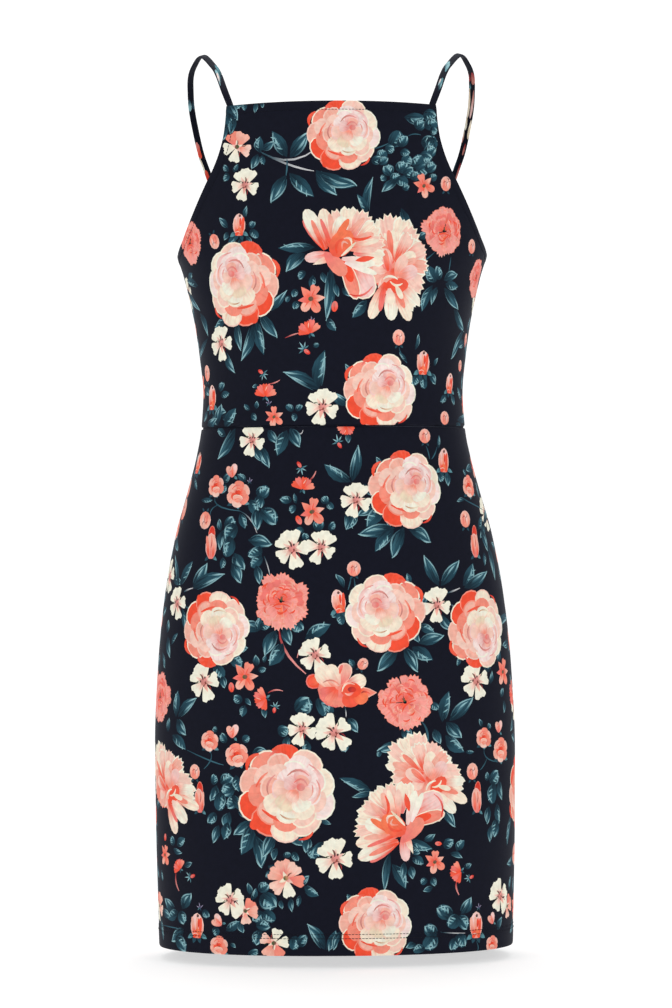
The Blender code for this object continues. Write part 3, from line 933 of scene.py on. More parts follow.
# A blossom pink all over, with a pale heart
PINKISH_BLOSSOM = (
    Part("notch", 0.0, 0.0, 150, 0.98, 0.7, SALMON, PEACH),
    Part("notch", 0.0, 0.0, 96, 0.98, 0.84, PINK, PEACH),
    Part("notch", 0.0, 0.0, 40, 0.94, 0.74, SALMON, PALE),
    Part("notch", 0.0, 0.0, -20, 0.9, 0.6, PINK, SALMON),
    Part("notch", 0.0, 0.0, -88, 0.98, 0.66, CREAM, IVORY),
    Part("notch", 0.0, 0.0, 212, 0.9, 0.76, SALMON, PALE),
    Part("point", 0.0, 0.0, 100, 0.4, 0.2, STRAW, CREAM),
    Part("point", 0.0, 0.0, 200, 0.4, 0.2, STRAW, CREAM),
    Part("point", 0.0, 0.0, -40, 0.4, 0.2, ROSE, PALE),
    Part("ball", -0.12, 0.0, 20, 0.26, 0.24, MOSS, BRONZE),
    Line(0.1, 0.1, 0.2, 0.2, 0.34, 0.24, 0.06, DARK, BROWN),
)

# A small coral flower of five pointed petals with a green heart
CORAL_FLOWER = (
    Part("point", 0.0, 0.0, 128, 0.98, 0.56, CORAL, SALMON),
    Part("notch", 0.0, 0.0, 70, 0.98, 0.62, PINK, SALMON),
    Part("point", 0.0, 0.0, 6, 0.9, 0.5, CORAL, PEACH),
    Part("round", 0.0, 0.0, -58, 0.98, 0.6, CORAL, SALMON),
    Part("round", 0.0, 0.0, -124, 0.96, 0.56, SALMON, PEACH),
    Part("point", 0.0, 0.0, 184, 0.84, 0.46, CORAL, PINK),
    Line(0.0, 0.0, 0.1, 0.3, 0.24, 0.56, 0.07, CORAL, CORAL),
    Line(0.0, 0.0, -0.2, -0.2, -0.4, -0.5, 0.07, CORAL, CORAL),
    Line(0.0, 0.0, 0.2, -0.22, 0.34, -0.5, 0.07, RED_CORAL, CORAL),
    Part("ball", -0.17, -0.02, 10, 0.34, 0.28, MOSS, BROWN),
)

# A small red flower seen from its side, a fan of petals on a dark stalk
SIDE_FLOWER = (
    Part("notch", 0.0, -0.3, 24, 1.12, 0.54, CORAL, SALMON),
    Part("notch", 0.0, -0.3, 154, 1.1, 0.54, RED_CORAL, CORAL),
    Part("notch", 0.0, -0.3, 62, 1.2, 0.56, RED_CORAL, PINK),
    Part("notch", 0.0, -0.3, 120, 1.2, 0.56, CORAL, PINK),
    Part("notch", 0.0, -0.3, 90, 1.16, 0.5, RED_CORAL, CORAL),
    Line(0.0, 0.2, 0.1, 0.4, 0.2, 0.6, 0.09, PEACH, PEACH),
    Part("leaf", 0.0, -0.25, -60, 0.5, 0.2, TEAL, TEAL_LIGHT),
    Part("leaf", 0.0, -0.25, -120, 0.46, 0.18, TEAL_DARK, TEAL),
)

# The pale star of sepals round a small red bud
STAR = (
    Part("point", 0.0, 0.0, 104, 1.0, 0.2, TEAL_LIGHT, TEAL_PALE),
    Part("point", 0.0, 0.0, 58, 0.9, 0.2, TEAL, TEAL_PALE),
    Part("point", 0.0, 0.0, 150, 0.8, 0.2, TEAL_LIGHT, TEAL_PALE),
    Part("point", 0.0, 0.0, 200, 0.86, 0.2, TEAL, TEAL_LIGHT),
    Part("point", 0.0, 0.0, 14, 0.7, 0.18, TEAL, TEAL_LIGHT),
    Part("oval", 0.0, -0.1, -58, 0.86, 0.52, PINK, RED),
    Part("narrow", 0.1, -0.2, -52, 0.5, 0.16, ROSE_BROWN, PINK),
)

# A sprig of thin lilac spikes
SPRIG = (
    Part("point", 0.0, -0.2, 100, 1.1, 0.2, LILAC_DARK, LILAC),
    Part("point", 0.0, -0.2, 44, 0.9, 0.2, LILAC_DARK, LILAC),
    Part("point", 0.0, -0.2, 156, 0.9, 0.2, LILAC_DARK, LILAC),
    Part("point", 0.0, 0.0, -70, 0.8, 0.2, LILAC_DARK, TEAL),
    Part("point", 0.0, 0.0, -130, 0.8, 0.2, TEAL, TEAL_LIGHT),
)

# A tight rosebud: a pale pink oval with deep coral folds, on dark sepals
ROSEBUD = (
    Part("leaf", 0.2, -0.5, -32, 0.72, 0.34, TEAL_DARK, TEAL_LIGHT),
    Part("leaf", -0.2, -0.5, 212, 0.72, 0.34, TEAL_DARK, TEAL_LIGHT),
    Part("leaf", 0.1, -0.6, -72, 0.66, 0.34, TEAL_DARK, TEAL),
    Part("leaf", -0.1, -0.6, -110, 0.66, 0.34, TEAL_DARK, TEAL),
    Part("oval", 0.0, -0.84, 90, 1.78, 1.1, SALMON, SHELL, PALE),
    Part("narrow", -0.22, -0.7, 98, 1.3, 0.28, CORAL, PEACH),
    Part("narrow", 0.24, -0.72, 84, 1.34, 0.28, RED_CORAL, CORAL),
    Part("narrow", 0.0, -0.5, 92, 1.2, 0.26, ORANGE, PEACH),
    Part("narrow", 0.1, -0.1, 84, 0.66, 0.18, RED, RED_CORAL),
    Part("oval", -0.28, -0.82, 66, 0.66, 0.34, RED_CORAL, CORAL),
    Part("oval", 0.26, -0.82, 112, 0.66, 0.34, RED_CORAL, ORANGE),
    Line(-0.36, -0.6, -0.1, -0.5, 0.1, -0.64, 0.07, PALE, PEACH),
    Part("ball", 0.06, 0.62, 80, 0.22, 0.2, DARK, BROWN),
)

# A small closed pink bud with brown folds
BUD = (
    Part("leaf", 0.1, -0.7, -50, 0.6, 0.26, TEAL_DARK, TEAL),
    Part("leaf", -0.1, -0.7, -130, 0.6, 0.26, TEAL_DARK, TEAL),
    Part("ball", 0.0, -0.84, 90, 1.76, 1.5, SALMON, PEACH, SHELL),
    Part("narrow", -0.3, -0.5, 84, 1.0, 0.3, PINK, SALMON),
    Part("narrow", 0.3, -0.6, 96, 1.1, 0.26, PEACH, SHELL),
    Line(-0.34, 0.1, -0.1, 0.3, 0.1, 0.1, 0.12, MAROON, ROSE_BROWN),
    Line(0.1, 0.1, 0.3, 0.3, 0.34, 0.55, 0.1, BROWN, ROSE_BROWN),
    Line(-0.1, -0.4, 0.06, -0.1, 0.04, 0.2, 0.1, CORAL, ROSE_BROWN),
)

# A small half-open rose: a pink cup with a coral heart
ROSETTE = (
    Part("leaf", 0.2, -0.5, -20, 0.8, 0.36, TEAL_DARK, TEAL_LIGHT),
    Part("leaf", -0.2, -0.5, 206, 0.8, 0.36, TEAL_DARK, TEAL),
    Part("leaf", 0.0, -0.6, -86, 0.5, 0.34, TEAL_DARK, TEAL_LIGHT),
    *layer("round", 0.0, 0.0, 0.2, 0.96, 0.86, 24, (
        (PINK, PEACH, SHELL), (CORAL, SALMON), (PINK, PEACH, SHELL), (CORAL, PEACH),
        (SALMON, PALE, SHELL), (PINK, SALMON),
    )),
    *layer("round", 0.02, 0.06, 0.1, 0.64, 0.56, 70, (
        (RED_CORAL, SALMON), (CORAL, PEACH), (RED_CORAL, CORAL), (RED_CORAL, PINK),
        (CORAL, SALMON),
    )),
    Part("ball", -0.24, 0.12, 8, 0.46, 0.34, RED, RED_CORAL),
    Part("round", -0.06, -0.62, 84, 0.58, 0.84, SALMON, PEACH, CREAM),
    Line(-0.5, 0.34, -0.2, 0.6, 0.24, 0.56, 0.09, CORAL, PINK),
    Line(-0.1, 0.26, 0.08, 0.32, 0.24, 0.2, 0.08, PEACH, SALMON),
    Line(-0.3, -0.44, 0.0, -0.34, 0.28, -0.42, 0.07, CORAL, SALMON),
)

# A curled pink bud
CURL = (
    Part("leaf", 0.0, -0.5, -60, 0.6, 0.3, TEAL_DARK, TEAL_LIGHT),
    Part("round", -0.2, -0.6, 60, 1.5, 0.8, SALMON, SHELL),
    Part("round", -0.2, -0.6, 100, 1.3, 0.7, PINK, PEACH),
    Part("narrow", -0.1, -0.5, 76, 1.0, 0.26, CORAL, SALMON),
    Line(-0.3, 0.3, 0.0, 0.5, 0.3, 0.4, 0.1, ROSE_BROWN, PEACH),
    Line(-0.3, 0.0, 0.0, 0.1, 0.2, 0.0, 0.1, RED_CORAL, SALMON),
)

# A long coral bud with a red tip
LONG_BUD = (
    Part("leaf", 0.08, -0.6, -40, 0.4, 0.18, TEAL_DARK, TEAL_LIGHT),
    Part("leaf", -0.08, -0.6, -140, 0.4, 0.18, TEAL_DARK, TEAL),
    Part("oval", 0.0, 0.1, 88, 0.88, 0.42, CORAL, RED, SALMON),
    Part("oval", 0.0, -0.76, 92, 1.34, 0.7, PINK, PEACH, SHELL),
    Part("narrow", -0.14, -0.6, 96, 1.0, 0.2, CORAL, SALMON),
    Part("narrow", 0.14, -0.66, 84, 1.1, 0.18, RED_CORAL, PEACH),
    Line(0.0, -0.2, 0.06, 0.1, 0.02, 0.4, 0.06, MAROON, CORAL),
)

# A tiny red bud
RED_BUD = (
    Part("oval", 0.0, -0.9, 84, 1.8, 1.1, RED_CORAL, PINK),
    Part("narrow", 0.1, -0.6, 96, 1.2, 0.3, RED, ROSE_BROWN),
)

# The tables by the names that the chart uses
FLOWERS = {
    "peony": PEONY, "ruffled": RUFFLED, "shaggy": SHAGGY, "rose": ROSE_FLOWER,
    "blossom": BLOSSOM, "rosy": ROSY_BLOSSOM, "pinkish": PINKISH_BLOSSOM, "coral": CORAL_FLOWER,
    "side": SIDE_FLOWER, "star": STAR, "sprig": SPRIG, "rosebud": ROSEBUD, "bud": BUD,
    "rosette": ROSETTE, "curl": CURL, "long": LONG_BUD, "redbud": RED_BUD,
}


def draw_carnation(brush):
    """Draw a carnation: rings of short pink petals with ragged tips and coral shadows."""
    for shape, count, inner, outer, width, low, high, start in (
        ("notch", 8, 0.3, 0.98, 0.74, DEEP_PINK, BLUSH_PINK, 0),
        ("ragged", 7, 0.3, 1.0, 0.5, CORAL, BLUSH_PINK, 24),
        ("notch", 7, 0.2, 0.78, 0.56, CORAL, PINK, 10),
        ("notch", 6, 0.12, 0.6, 0.46, DEEP_PINK, BLUSH_PINK, 40),
        ("ragged", 5, 0.06, 0.44, 0.34, CORAL, PINK, 30),
    ):
        brush.ring(shape, count, inner, outer, width, low, high, start,
                   rim=SALMON, rim_size=0.018, streak=0.9)
    for degrees, length, low in ((-34, 0.84, PINK), (-66, 0.94, DEEP_PINK), (-100, 0.9, ORANGE),
                                 (-138, 0.84, PINK)):
        brush.petal("ragged", (0.0, -0.1), degrees, length, 0.46, low, BLUSH_PINK, PEACH, 0.02)
    for count, inner, outer, colours in ((16, 0.2, 0.78, (CORAL, RED_CORAL)),
                                         (20, 0.26, 0.84, (PEACH, SALMON))):
        for _ in range(count):
            degrees = brush.random.uniform(0, 360)
            place = heading(degrees) * brush.random.uniform(inner, outer)
            aside = heading(degrees + 90 + brush.random.uniform(-25, 25)) * 0.12
            brush.stroke(place - aside, place + heading(degrees) * 0.05, place + aside, 0.06,
                         *colours)
    brush.draw((Line(0.0, 0.0, 0.02, 0.08, 0.0, 0.16, 0.08, MOSS, BROWN),
                Line(-0.3, -0.2, 0.0, -0.1, 0.34, -0.22, 0.07, RED_CORAL, CORAL)))


def draw_leaf(brush, run, width, number):
    """Draw one leaf: a dark blade, a lighter half and a pale line along one edge."""
    length = float(np.hypot(*run))
    degrees = math.degrees(math.atan2(run[1], run[0]))
    across = heading(degrees + 90)
    along = heading(degrees)
    side = 1 if number % 2 else -1
    bend = brush.random.uniform(-0.09, 0.09)
    base = np.zeros(2)
    broad = "leaf" if length > 1.5 * width else "ball"
    outline, tip = blade(broad, base, degrees, length, width, bend)
    brush.lay(outline, base, tip, width / 2, TEAL_DARK, TEAL, 0.7)
    start = base + along * length * 0.12
    outline, tip = blade("leaf", start, degrees, length * 0.8, width * 0.8, bend * 0.8,
                         (side, -0.06 * side))
    brush.lay(outline, start, tip, width / 2, TEAL_DARK, TEAL_EDGE, 1.4)
    if length > 0.011 and number % 4:
        start = base + along * length * 0.3 + across * side * width * 0.05
        outline, tip = blade("leaf", start, degrees, length * 0.5, width * 0.34, bend,
                             (side, 0.1 * side))
        brush.lay(outline, start, tip, width / 4, TEAL_EDGE, TEAL_PALE, 1.0)
    if broad == "ball" or number % 3 == 0:
        for share in (0.3, 0.5, 0.7):
            foot = along * length * share + across * bend * length * 0.8
            brush.stroke(foot, foot + across * side * width * 0.14 + along * length * 0.05,
                         foot + across * side * width * 0.34 + along * length * 0.14,
                         width * 0.1, TEAL_LIGHT, TEAL_PALE)
    edge = width * 0.43 * across * side
    middle = along * length * 0.5 + across * bend * length
    thin = max(width * 0.1, 0.0005)
    brush.stroke(along * length * 0.12 + edge * 0.5, middle + edge, along * length * 0.94,
                 thin, TEAL, TEAL_PALE, 0.6)
    if number % 3:
        brush.stroke(along * length * 0.55 - edge * 0.7 + across * bend * length * 0.8,
                     along * length * 0.8 - edge * 0.5, along * length, thin * 1.4,
                     TEAL_EDGE, TEAL_PALE, 0.6)


# Where each flower lies, charted in chart units, about a millimetre each, seen from
# the front: x to the right and y down from the top left of the frame, then its size, its turn
# and whether it is turned over
Motif = namedtuple("Motif", "kind x y size turn over", defaults=(0, False))
CHART = [Motif(kind, *row) for kind, rows in (
    ("star", (
        (304, 349, 16, 20), (263, 374, 14, 200), (338, 442, 15), (301, 468, 15, 180), (275, 707, 13, -40),
        (190, 877, 14, 80), (469, 878, 12, 80),
    )),
    ("sprig", ((200, 907, 11), (479, 907, 10), (250, 481, 9), (312, 320, 9), (269, 403, 9))),
    ("coral", ((311, 299, 31),)),
    ("side", ((309, 330, 23, 20), (265, 393, 23))),
    ("coral", ((274, 417, 21, 20),)),
    ("side", ((346, 428, 17, 180), (303, 486, 22, -8))),
    ("coral", ((312, 512, 29, 10), (245, 677, 31))),
    ("side", ((263, 699, 22, 100),)),
    ("coral", ((503, 672, 29), (165, 855, 22))),
    ("side", ((179, 867, 18, 40),)),
    ("coral", ((435, 862, 24, 20),)),
    ("side", ((458, 872, 21, 100), (512, 693, 26, 90))),
    ("redbud", (
        (299, 520, 10, -150), (231, 687, 11, 10), (317, 668, 10), (165, 837, 8), (438, 844, 8, 90),
        (334, 306, 12),
    )),
    ("rosy", ((237, 147, 33),)),
    ("blossom", (
        (245, 185, 33), (221, 343, 34, 20), (322, 407, 36), (252, 440, 31), (356, 500, 34),
        (292, 549, 38, 30), (321, 547, 33, -10), (177, 603, 32, 30), (437, 605, 35, 10), (204, 682, 38, 36),
        (476, 681, 38, 36), (315, 655, 35, 40), (302, 729, 32), (334, 733, 39, 60), (335, 859, 40, 20),
    )),
    ("pinkish", ((286, 879, 40, 10),)),
    ("rosy", ((245, 911, 28, -60),)),
    ("blossom", ((230, 900, 33, 50),)),
    ("rosy", ((274, 943, 31, 180), (507, 906, 26, -60))),
    ("blossom", ((500, 896, 34, 50),)),
    ("coral", ((424, 186, 25, 40),)),
    ("bud", (
        (446, 184, 17), (214, 241, 17, 200), (472, 247, 16), (399, 338, 17), (207, 374, 18), (460, 366, 13),
        (445, 418, 16), (425, 436, 17),
    )),
    ("rosebud", ((198, 463, 25),)),
    ("bud", ((189, 489, 22), (184, 510, 24))),
    ("rosette", ((216, 486, 22, 10),)),
    ("curl", ((232, 471, 19, 20),)),
    ("bud", ((205, 520, 20, 180),)),
    ("rosette", ((469, 486, 24),)),
    ("bud", ((465, 519, 20), (354, 569, 17), (363, 664, 14, -30))),
    ("rosette", ((210, 741, 21),)),
    ("curl", ((233, 732, 18, 10),)),
    ("bud", ((195, 772, 17),)),
    ("rosette", ((484, 738, 21),)),
    ("curl", ((499, 727, 17, 10),)),
    ("bud", ((472, 772, 18),)),
    ("curl", ((218, 921, 17, 60),)),
    ("rosette", ((219, 946, 21),)),
    ("rosebud", ((239, 225, 25), (423, 363, 27), (450, 384, 22), (212, 398, 28), (444, 461, 26))),
    ("rosette", ((238, 494, 27),)),
    ("long", ((211, 544, 38), (475, 543, 37))),
    ("rosebud", ((339, 602, 25, 10),)),
    ("rosette", ((237, 755, 25, 20),)),
    ("long", ((200, 799, 35),)),
    ("rosette", ((501, 750, 26),)),
    ("long", ((477, 799, 35),)),
    ("rosebud", ((197, 926, 28), (476, 926, 28))),
    ("curl", ((492, 919, 15, 30),)),
    ("rosette", ((492, 944, 18),)),
    ("carnation", (
        (190, 243, 42), (476, 278, 38), (444, 231, 49), (281, 601, 56), (405, 702, 55, 40), (160, 697, 50),
    )),
    ("rose", ((339, 686, 70),)),
    ("shaggy", ((393, 264, 98),)),
    ("ruffled", ((343, 249, 84),)),
    ("shaggy", ((165, 782, 90, 45), (424, 774, 88, 42))),
    ("ruffled", ((398, 824, 84, 90),)),
    ("peony", (
        (343, 135, 74), (240, 284, 86, 172, True), (381, 391, 76), (407, 489, 78, -4),
        (386, 613, 80, 180, True), (214, 629, 78, 0, True), (480, 629, 80, 0, True), (286, 794, 98, -14),
        (376, 925, 74), (516, 790, 80, 0, True),
    )),
) for row in rows]

# Where each single leaf lies, from its foot to its tip, and its width, in the same units
Leaf = namedtuple("Leaf", "x y to_x to_y width")
LEAVES = [Leaf(*row) for row in (
    (226, 108, 242, 106, 10), (228, 104, 238, 120, 13), (226, 112, 228, 128, 11), (233, 115, 227, 128, 11),
    (227, 124, 223, 140, 9), (256, 102, 255, 113, 5), (243, 102, 245, 111, 6), (262, 102, 263, 108, 4),
    (236, 118, 230, 134, 8), (287, 157, 272, 131, 13), (290, 158, 309, 132, 13), (286, 175, 271, 203, 13),
    (289, 173, 314, 197, 13), (316, 170, 337, 195, 14), (316, 171, 357, 186, 13), (260, 153, 260, 136, 10),
    (262, 150, 274, 142, 8), (258, 154, 252, 169, 9), (262, 155, 264, 165, 6), (228, 172, 224, 165, 6),
    (228, 173, 224, 181, 7), (233, 172, 238, 164, 5), (245, 218, 247, 206, 5), (250, 228, 255, 222, 7),
    (250, 230, 258, 238, 8), (228, 228, 219, 218, 7), (228, 232, 224, 240, 6), (236, 236, 228, 244, 7),
    (240, 238, 243, 249, 7), (246, 236, 252, 246, 6), (315, 247, 278, 248, 10), (305, 253, 286, 272, 13),
    (305, 271, 299, 279, 7), (313, 275, 311, 289, 7), (322, 272, 325, 283, 6), (296, 289, 293, 297, 7),
    (290, 296, 286, 302, 5), (297, 301, 294, 309, 7), (331, 266, 326, 321, 11), (327, 318, 336, 331, 8),
    (335, 283, 338, 297, 6), (342, 288, 350, 296, 6), (367, 300, 352, 318, 10), (262, 312, 287, 290, 9),
    (260, 313, 277, 338, 11), (256, 320, 264, 355, 11), (253, 325, 241, 361, 11), (236, 322, 241, 351, 9),
    (227, 316, 214, 331, 8), (225, 352, 235, 373, 9), (187, 289, 200, 311, 9), (198, 286, 187, 281, 8),
    (200, 313, 208, 336, 9), (208, 338, 200, 359, 7), (318, 390, 325, 350, 13), (319, 390, 283, 372, 12),
    (367, 215, 373, 177, 8), (366, 214, 357, 194, 7), (401, 208, 410, 236, 10), (418, 238, 428, 232, 8),
    (391, 147, 400, 131, 15), (398, 146, 407, 136, 11), (386, 152, 394, 147, 10), (378, 158, 386, 151, 11),
    (372, 163, 381, 157, 9), (378, 163, 388, 158, 9), (404, 117, 426, 117, 12), (414, 126, 425, 122, 12),
    (423, 116, 436, 116, 13), (424, 126, 438, 123, 13), (430, 131, 437, 131, 10), (421, 143, 437, 141, 15),
    (428, 138, 436, 148, 13), (424, 153, 436, 148, 13), (419, 158, 432, 158, 13), (413, 168, 422, 155, 12),
    (416, 172, 429, 166, 13), (425, 170, 436, 165, 12), (405, 166, 410, 156, 12), (396, 170, 407, 163, 13),
    (404, 176, 413, 168, 12), (410, 178, 420, 174, 10), (392, 175, 384, 166, 12), (390, 180, 401, 176, 11),
    (396, 179, 408, 184, 11), (397, 180, 382, 192, 9), (400, 153, 410, 153, 8), (429, 178, 437, 176, 8),
    (386, 176, 381, 180, 7), (402, 188, 409, 186, 7), (433, 285, 422, 312, 10), (438, 287, 432, 305, 8),
    (445, 288, 458, 310, 11), (436, 282, 428, 267, 13), (440, 280, 437, 266, 10), (444, 280, 458, 274, 11),
    (446, 284, 459, 287, 9), (454, 309, 464, 332, 10), (464, 329, 451, 359, 9), (407, 362, 399, 352, 4),
    (415, 350, 419, 334, 4), (418, 375, 413, 385, 9), (424, 376, 425, 389, 9), (429, 374, 436, 384, 8),
    (434, 366, 438, 358, 4), (447, 394, 440, 402, 7), (452, 394, 454, 405, 7), (457, 420, 464, 414, 8),
    (456, 423, 462, 427, 7), (352, 376, 345, 364, 6), (350, 405, 331, 392, 10), (250, 410, 244, 404, 5),
    (256, 409, 257, 401, 5), (252, 413, 256, 420, 6), (293, 411, 286, 405, 7), (296, 411, 302, 405, 6),
    (294, 413, 294, 421, 6), (313, 346, 319, 344, 5), (258, 385, 252, 387, 4), (219, 391, 224, 383, 8),
    (220, 396, 229, 393, 7), (217, 408, 226, 412, 8), (214, 413, 216, 425, 9), (208, 412, 204, 422, 8),
    (222, 416, 233, 423, 9), (217, 426, 221, 404, 11), (224, 427, 236, 408, 12), (207, 425, 217, 418, 9),
    (235, 428, 217, 459, 13), (226, 436, 217, 428, 8), (258, 444, 269, 468, 11), (268, 430, 277, 443, 9),
    (287, 430, 277, 456, 13), (290, 428, 300, 447, 12), (253, 447, 262, 462, 8), (194, 478, 197, 490, 6),
    (224, 483, 229, 473, 8), (224, 484, 225, 492, 7), (246, 482, 237, 474, 7), (256, 494, 269, 488, 13),
    (257, 496, 261, 508, 10), (250, 500, 257, 514, 11), (256, 509, 257, 530, 12), (261, 509, 276, 524, 15),
    (201, 500, 213, 500, 5), (221, 531, 219, 519, 6), (226, 529, 233, 517, 13), (240, 513, 245, 529, 9),
    (236, 524, 225, 540, 15), (223, 530, 220, 550, 9), (230, 536, 226, 557, 14), (248, 540, 272, 544, 13),
    (262, 548, 248, 556, 12), (223, 557, 221, 569, 7), (234, 553, 244, 570, 13), (232, 563, 241, 583, 12),
    (262, 556, 251, 567, 11), (256, 565, 260, 584, 9), (292, 500, 280, 499, 8), (296, 504, 294, 493, 4),
    (295, 505, 291, 513, 7), (323, 504, 327, 496, 8), (328, 502, 333, 509, 7), (315, 530, 322, 520, 11),
    (329, 530, 334, 522, 7), (304, 532, 296, 529, 6), (306, 541, 304, 533, 7), (179, 586, 175, 555, 7),
    (180, 586, 193, 561, 10), (193, 588, 207, 563, 14), (193, 589, 225, 574, 12), (182, 608, 185, 631, 7),
    (349, 433, 348, 443, 6), (352, 482, 358, 445, 11), (351, 482, 324, 464, 12), (383, 468, 376, 457, 6),
    (363, 484, 381, 495, 9), (355, 510, 347, 530, 9), (347, 513, 346, 530, 7), (374, 503, 358, 516, 9),
    (386, 508, 366, 527, 14), (387, 512, 390, 528, 7), (395, 528, 358, 534, 13), (394, 530, 375, 552, 12),
    (404, 527, 392, 558, 13), (408, 528, 431, 542, 12), (438, 449, 439, 435, 4), (442, 472, 441, 482, 8),
    (447, 472, 448, 486, 8), (467, 476, 463, 469, 5), (465, 500, 457, 501, 4), (483, 525, 486, 508, 9),
    (478, 530, 481, 516, 7), (481, 528, 488, 551, 10), (488, 545, 495, 580, 11), (484, 552, 485, 566, 6),
    (439, 586, 424, 555, 11), (441, 586, 459, 560, 12), (463, 586, 473, 563, 13), (464, 588, 487, 571, 12),
    (344, 588, 336, 574, 6), (409, 585, 407, 573, 6), (337, 612, 332, 617, 7), (344, 613, 350, 616, 7),
    (340, 613, 342, 625, 8), (415, 612, 428, 594, 9), (439, 613, 454, 631, 10), (419, 625, 435, 633, 9),
    (412, 626, 419, 643, 8), (418, 643, 444, 635, 12), (412, 647, 433, 660, 13), (404, 647, 418, 672, 12),
    (398, 650, 377, 671, 13), (354, 668, 349, 659, 6), (167, 633, 169, 620, 8), (168, 636, 170, 658, 9),
    (171, 645, 178, 633, 5), (162, 652, 165, 668, 6), (262, 629, 239, 625, 12), (257, 632, 261, 616, 7),
    (260, 628, 270, 624, 9), (276, 630, 265, 656, 13), (283, 643, 269, 666, 14), (284, 626, 291, 645, 11),
    (293, 622, 303, 630, 12), (305, 639, 331, 624, 13), (236, 650, 248, 648, 7), (231, 656, 242, 666, 12),
    (214, 666, 224, 678, 11), (222, 676, 225, 688, 8), (257, 666, 256, 655, 7), (264, 663, 266, 655, 4),
    (258, 670, 266, 669, 6), (242, 702, 234, 696, 9), (245, 705, 242, 717, 8), (245, 698, 251, 705, 5),
    (263, 707, 265, 718, 6), (176, 717, 178, 690, 10), (178, 717, 197, 698, 11), (177, 719, 186, 735, 12),
    (172, 735, 186, 750, 11), (168, 732, 169, 718, 7), (297, 713, 309, 698, 18), (318, 698, 325, 716, 13),
    (279, 735, 288, 728, 12), (288, 736, 286, 750, 8), (306, 740, 305, 755, 9), (348, 718, 358, 732, 10),
    (342, 742, 345, 752, 10), (328, 716, 331, 704, 8), (430, 703, 439, 709, 8), (405, 727, 409, 740, 11),
    (442, 722, 449, 691, 12), (449, 721, 473, 697, 13), (446, 722, 461, 738, 13), (445, 735, 464, 752, 13),
    (434, 729, 440, 744, 9), (403, 746, 377, 751, 11), (380, 750, 378, 757, 5), (482, 727, 479, 719, 5),
    (489, 730, 489, 723, 5), (465, 752, 474, 752, 4), (218, 730, 213, 729, 6), (226, 743, 222, 733, 8),
    (243, 742, 249, 736, 8), (252, 753, 268, 751, 9), (487, 633, 511, 616, 8), (497, 662, 500, 651, 8),
    (489, 672, 486, 660, 10), (490, 684, 492, 671, 6), (460, 656, 457, 666, 5), (501, 697, 503, 688, 7),
    (504, 700, 504, 713, 6), (171, 802, 176, 823, 8), (214, 785, 214, 774, 8), (221, 783, 233, 777, 13),
    (236, 775, 239, 792, 10), (217, 785, 211, 801, 10), (232, 784, 223, 795, 14), (222, 792, 219, 811, 13),
    (238, 797, 228, 808, 12), (232, 795, 248, 811, 9), (238, 811, 252, 817, 9), (216, 813, 208, 823, 10),
    (230, 812, 226, 830, 11), (228, 822, 224, 840, 11), (219, 825, 213, 843, 9), (253, 821, 234, 835, 12),
    (251, 824, 241, 855, 15), (255, 835, 262, 868, 14), (274, 832, 263, 857, 12), (258, 834, 275, 831, 6),
    (289, 835, 304, 846, 11), (308, 837, 306, 853, 10), (311, 847, 315, 859, 10), (324, 843, 313, 855, 12),
    (277, 848, 273, 860, 7), (283, 856, 291, 854, 6), (293, 852, 298, 861, 7), (320, 820, 331, 824, 5),
    (268, 866, 277, 870, 6), (274, 872, 266, 877, 8), (300, 886, 309, 876, 8), (304, 886, 319, 896, 9),
    (281, 900, 282, 909, 5), (291, 898, 292, 912, 6), (300, 895, 298, 907, 5), (258, 890, 269, 885, 11),
    (250, 895, 248, 883, 6), (252, 900, 256, 888, 6), (260, 896, 276, 907, 18), (263, 912, 253, 921, 11),
    (263, 912, 275, 921, 11), (256, 924, 270, 927, 11), (260, 930, 256, 945, 11), (226, 931, 240, 921, 9),
    (240, 922, 243, 933, 7), (173, 846, 172, 836, 8), (177, 846, 185, 838, 9), (173, 849, 182, 853, 6),
    (184, 866, 192, 863, 6), (161, 869, 163, 881, 6), (175, 911, 165, 898, 13), (182, 909, 191, 893, 13),
    (178, 911, 168, 919, 11), (180, 911, 184, 924, 13), (203, 910, 209, 917, 8), (160, 914, 164, 941, 7),
    (184, 929, 172, 941, 13), (176, 937, 186, 951, 14), (214, 927, 217, 936, 8), (230, 944, 236, 947, 4),
    (248, 956, 258, 950, 8), (296, 936, 293, 950, 11), (300, 947, 306, 935, 10), (325, 950, 307, 924, 12),
    (326, 950, 336, 930, 10), (337, 934, 329, 951, 9), (341, 931, 333, 950, 7), (374, 796, 339, 778, 10),
    (374, 793, 352, 797, 6), (441, 806, 455, 827, 10), (409, 839, 433, 849, 10), (424, 841, 435, 834, 7),
    (390, 852, 384, 891, 8), (392, 864, 406, 889, 12), (404, 862, 403, 880, 7), (411, 866, 413, 879, 8),
    (412, 858, 424, 864, 9), (411, 850, 420, 853, 7), (444, 848, 453, 840, 10), (456, 851, 464, 840, 9),
    (450, 853, 462, 858, 6), (464, 867, 471, 864, 6), (427, 879, 421, 884, 7), (433, 877, 435, 886, 7),
    (433, 887, 423, 891, 6), (352, 904, 347, 894, 6), (453, 915, 437, 908, 15), (461, 914, 471, 897, 12),
    (458, 915, 448, 927, 14), (458, 916, 467, 929, 13), (437, 934, 425, 926, 13), (436, 934, 424, 949, 15),
    (456, 935, 465, 946, 13), (456, 938, 451, 950, 11), (425, 948, 413, 951, 9), (416, 944, 406, 948, 7),
    (497, 930, 502, 917, 8), (509, 892, 511, 875, 7), (490, 783, 498, 771, 14), (487, 781, 487, 772, 6),
    (494, 783, 492, 804, 14), (499, 780, 502, 800, 9), (489, 806, 487, 824, 9), (497, 803, 499, 825, 9),
    (496, 819, 494, 837, 12), (491, 825, 490, 842, 8), (512, 812, 507, 846, 8),
)]

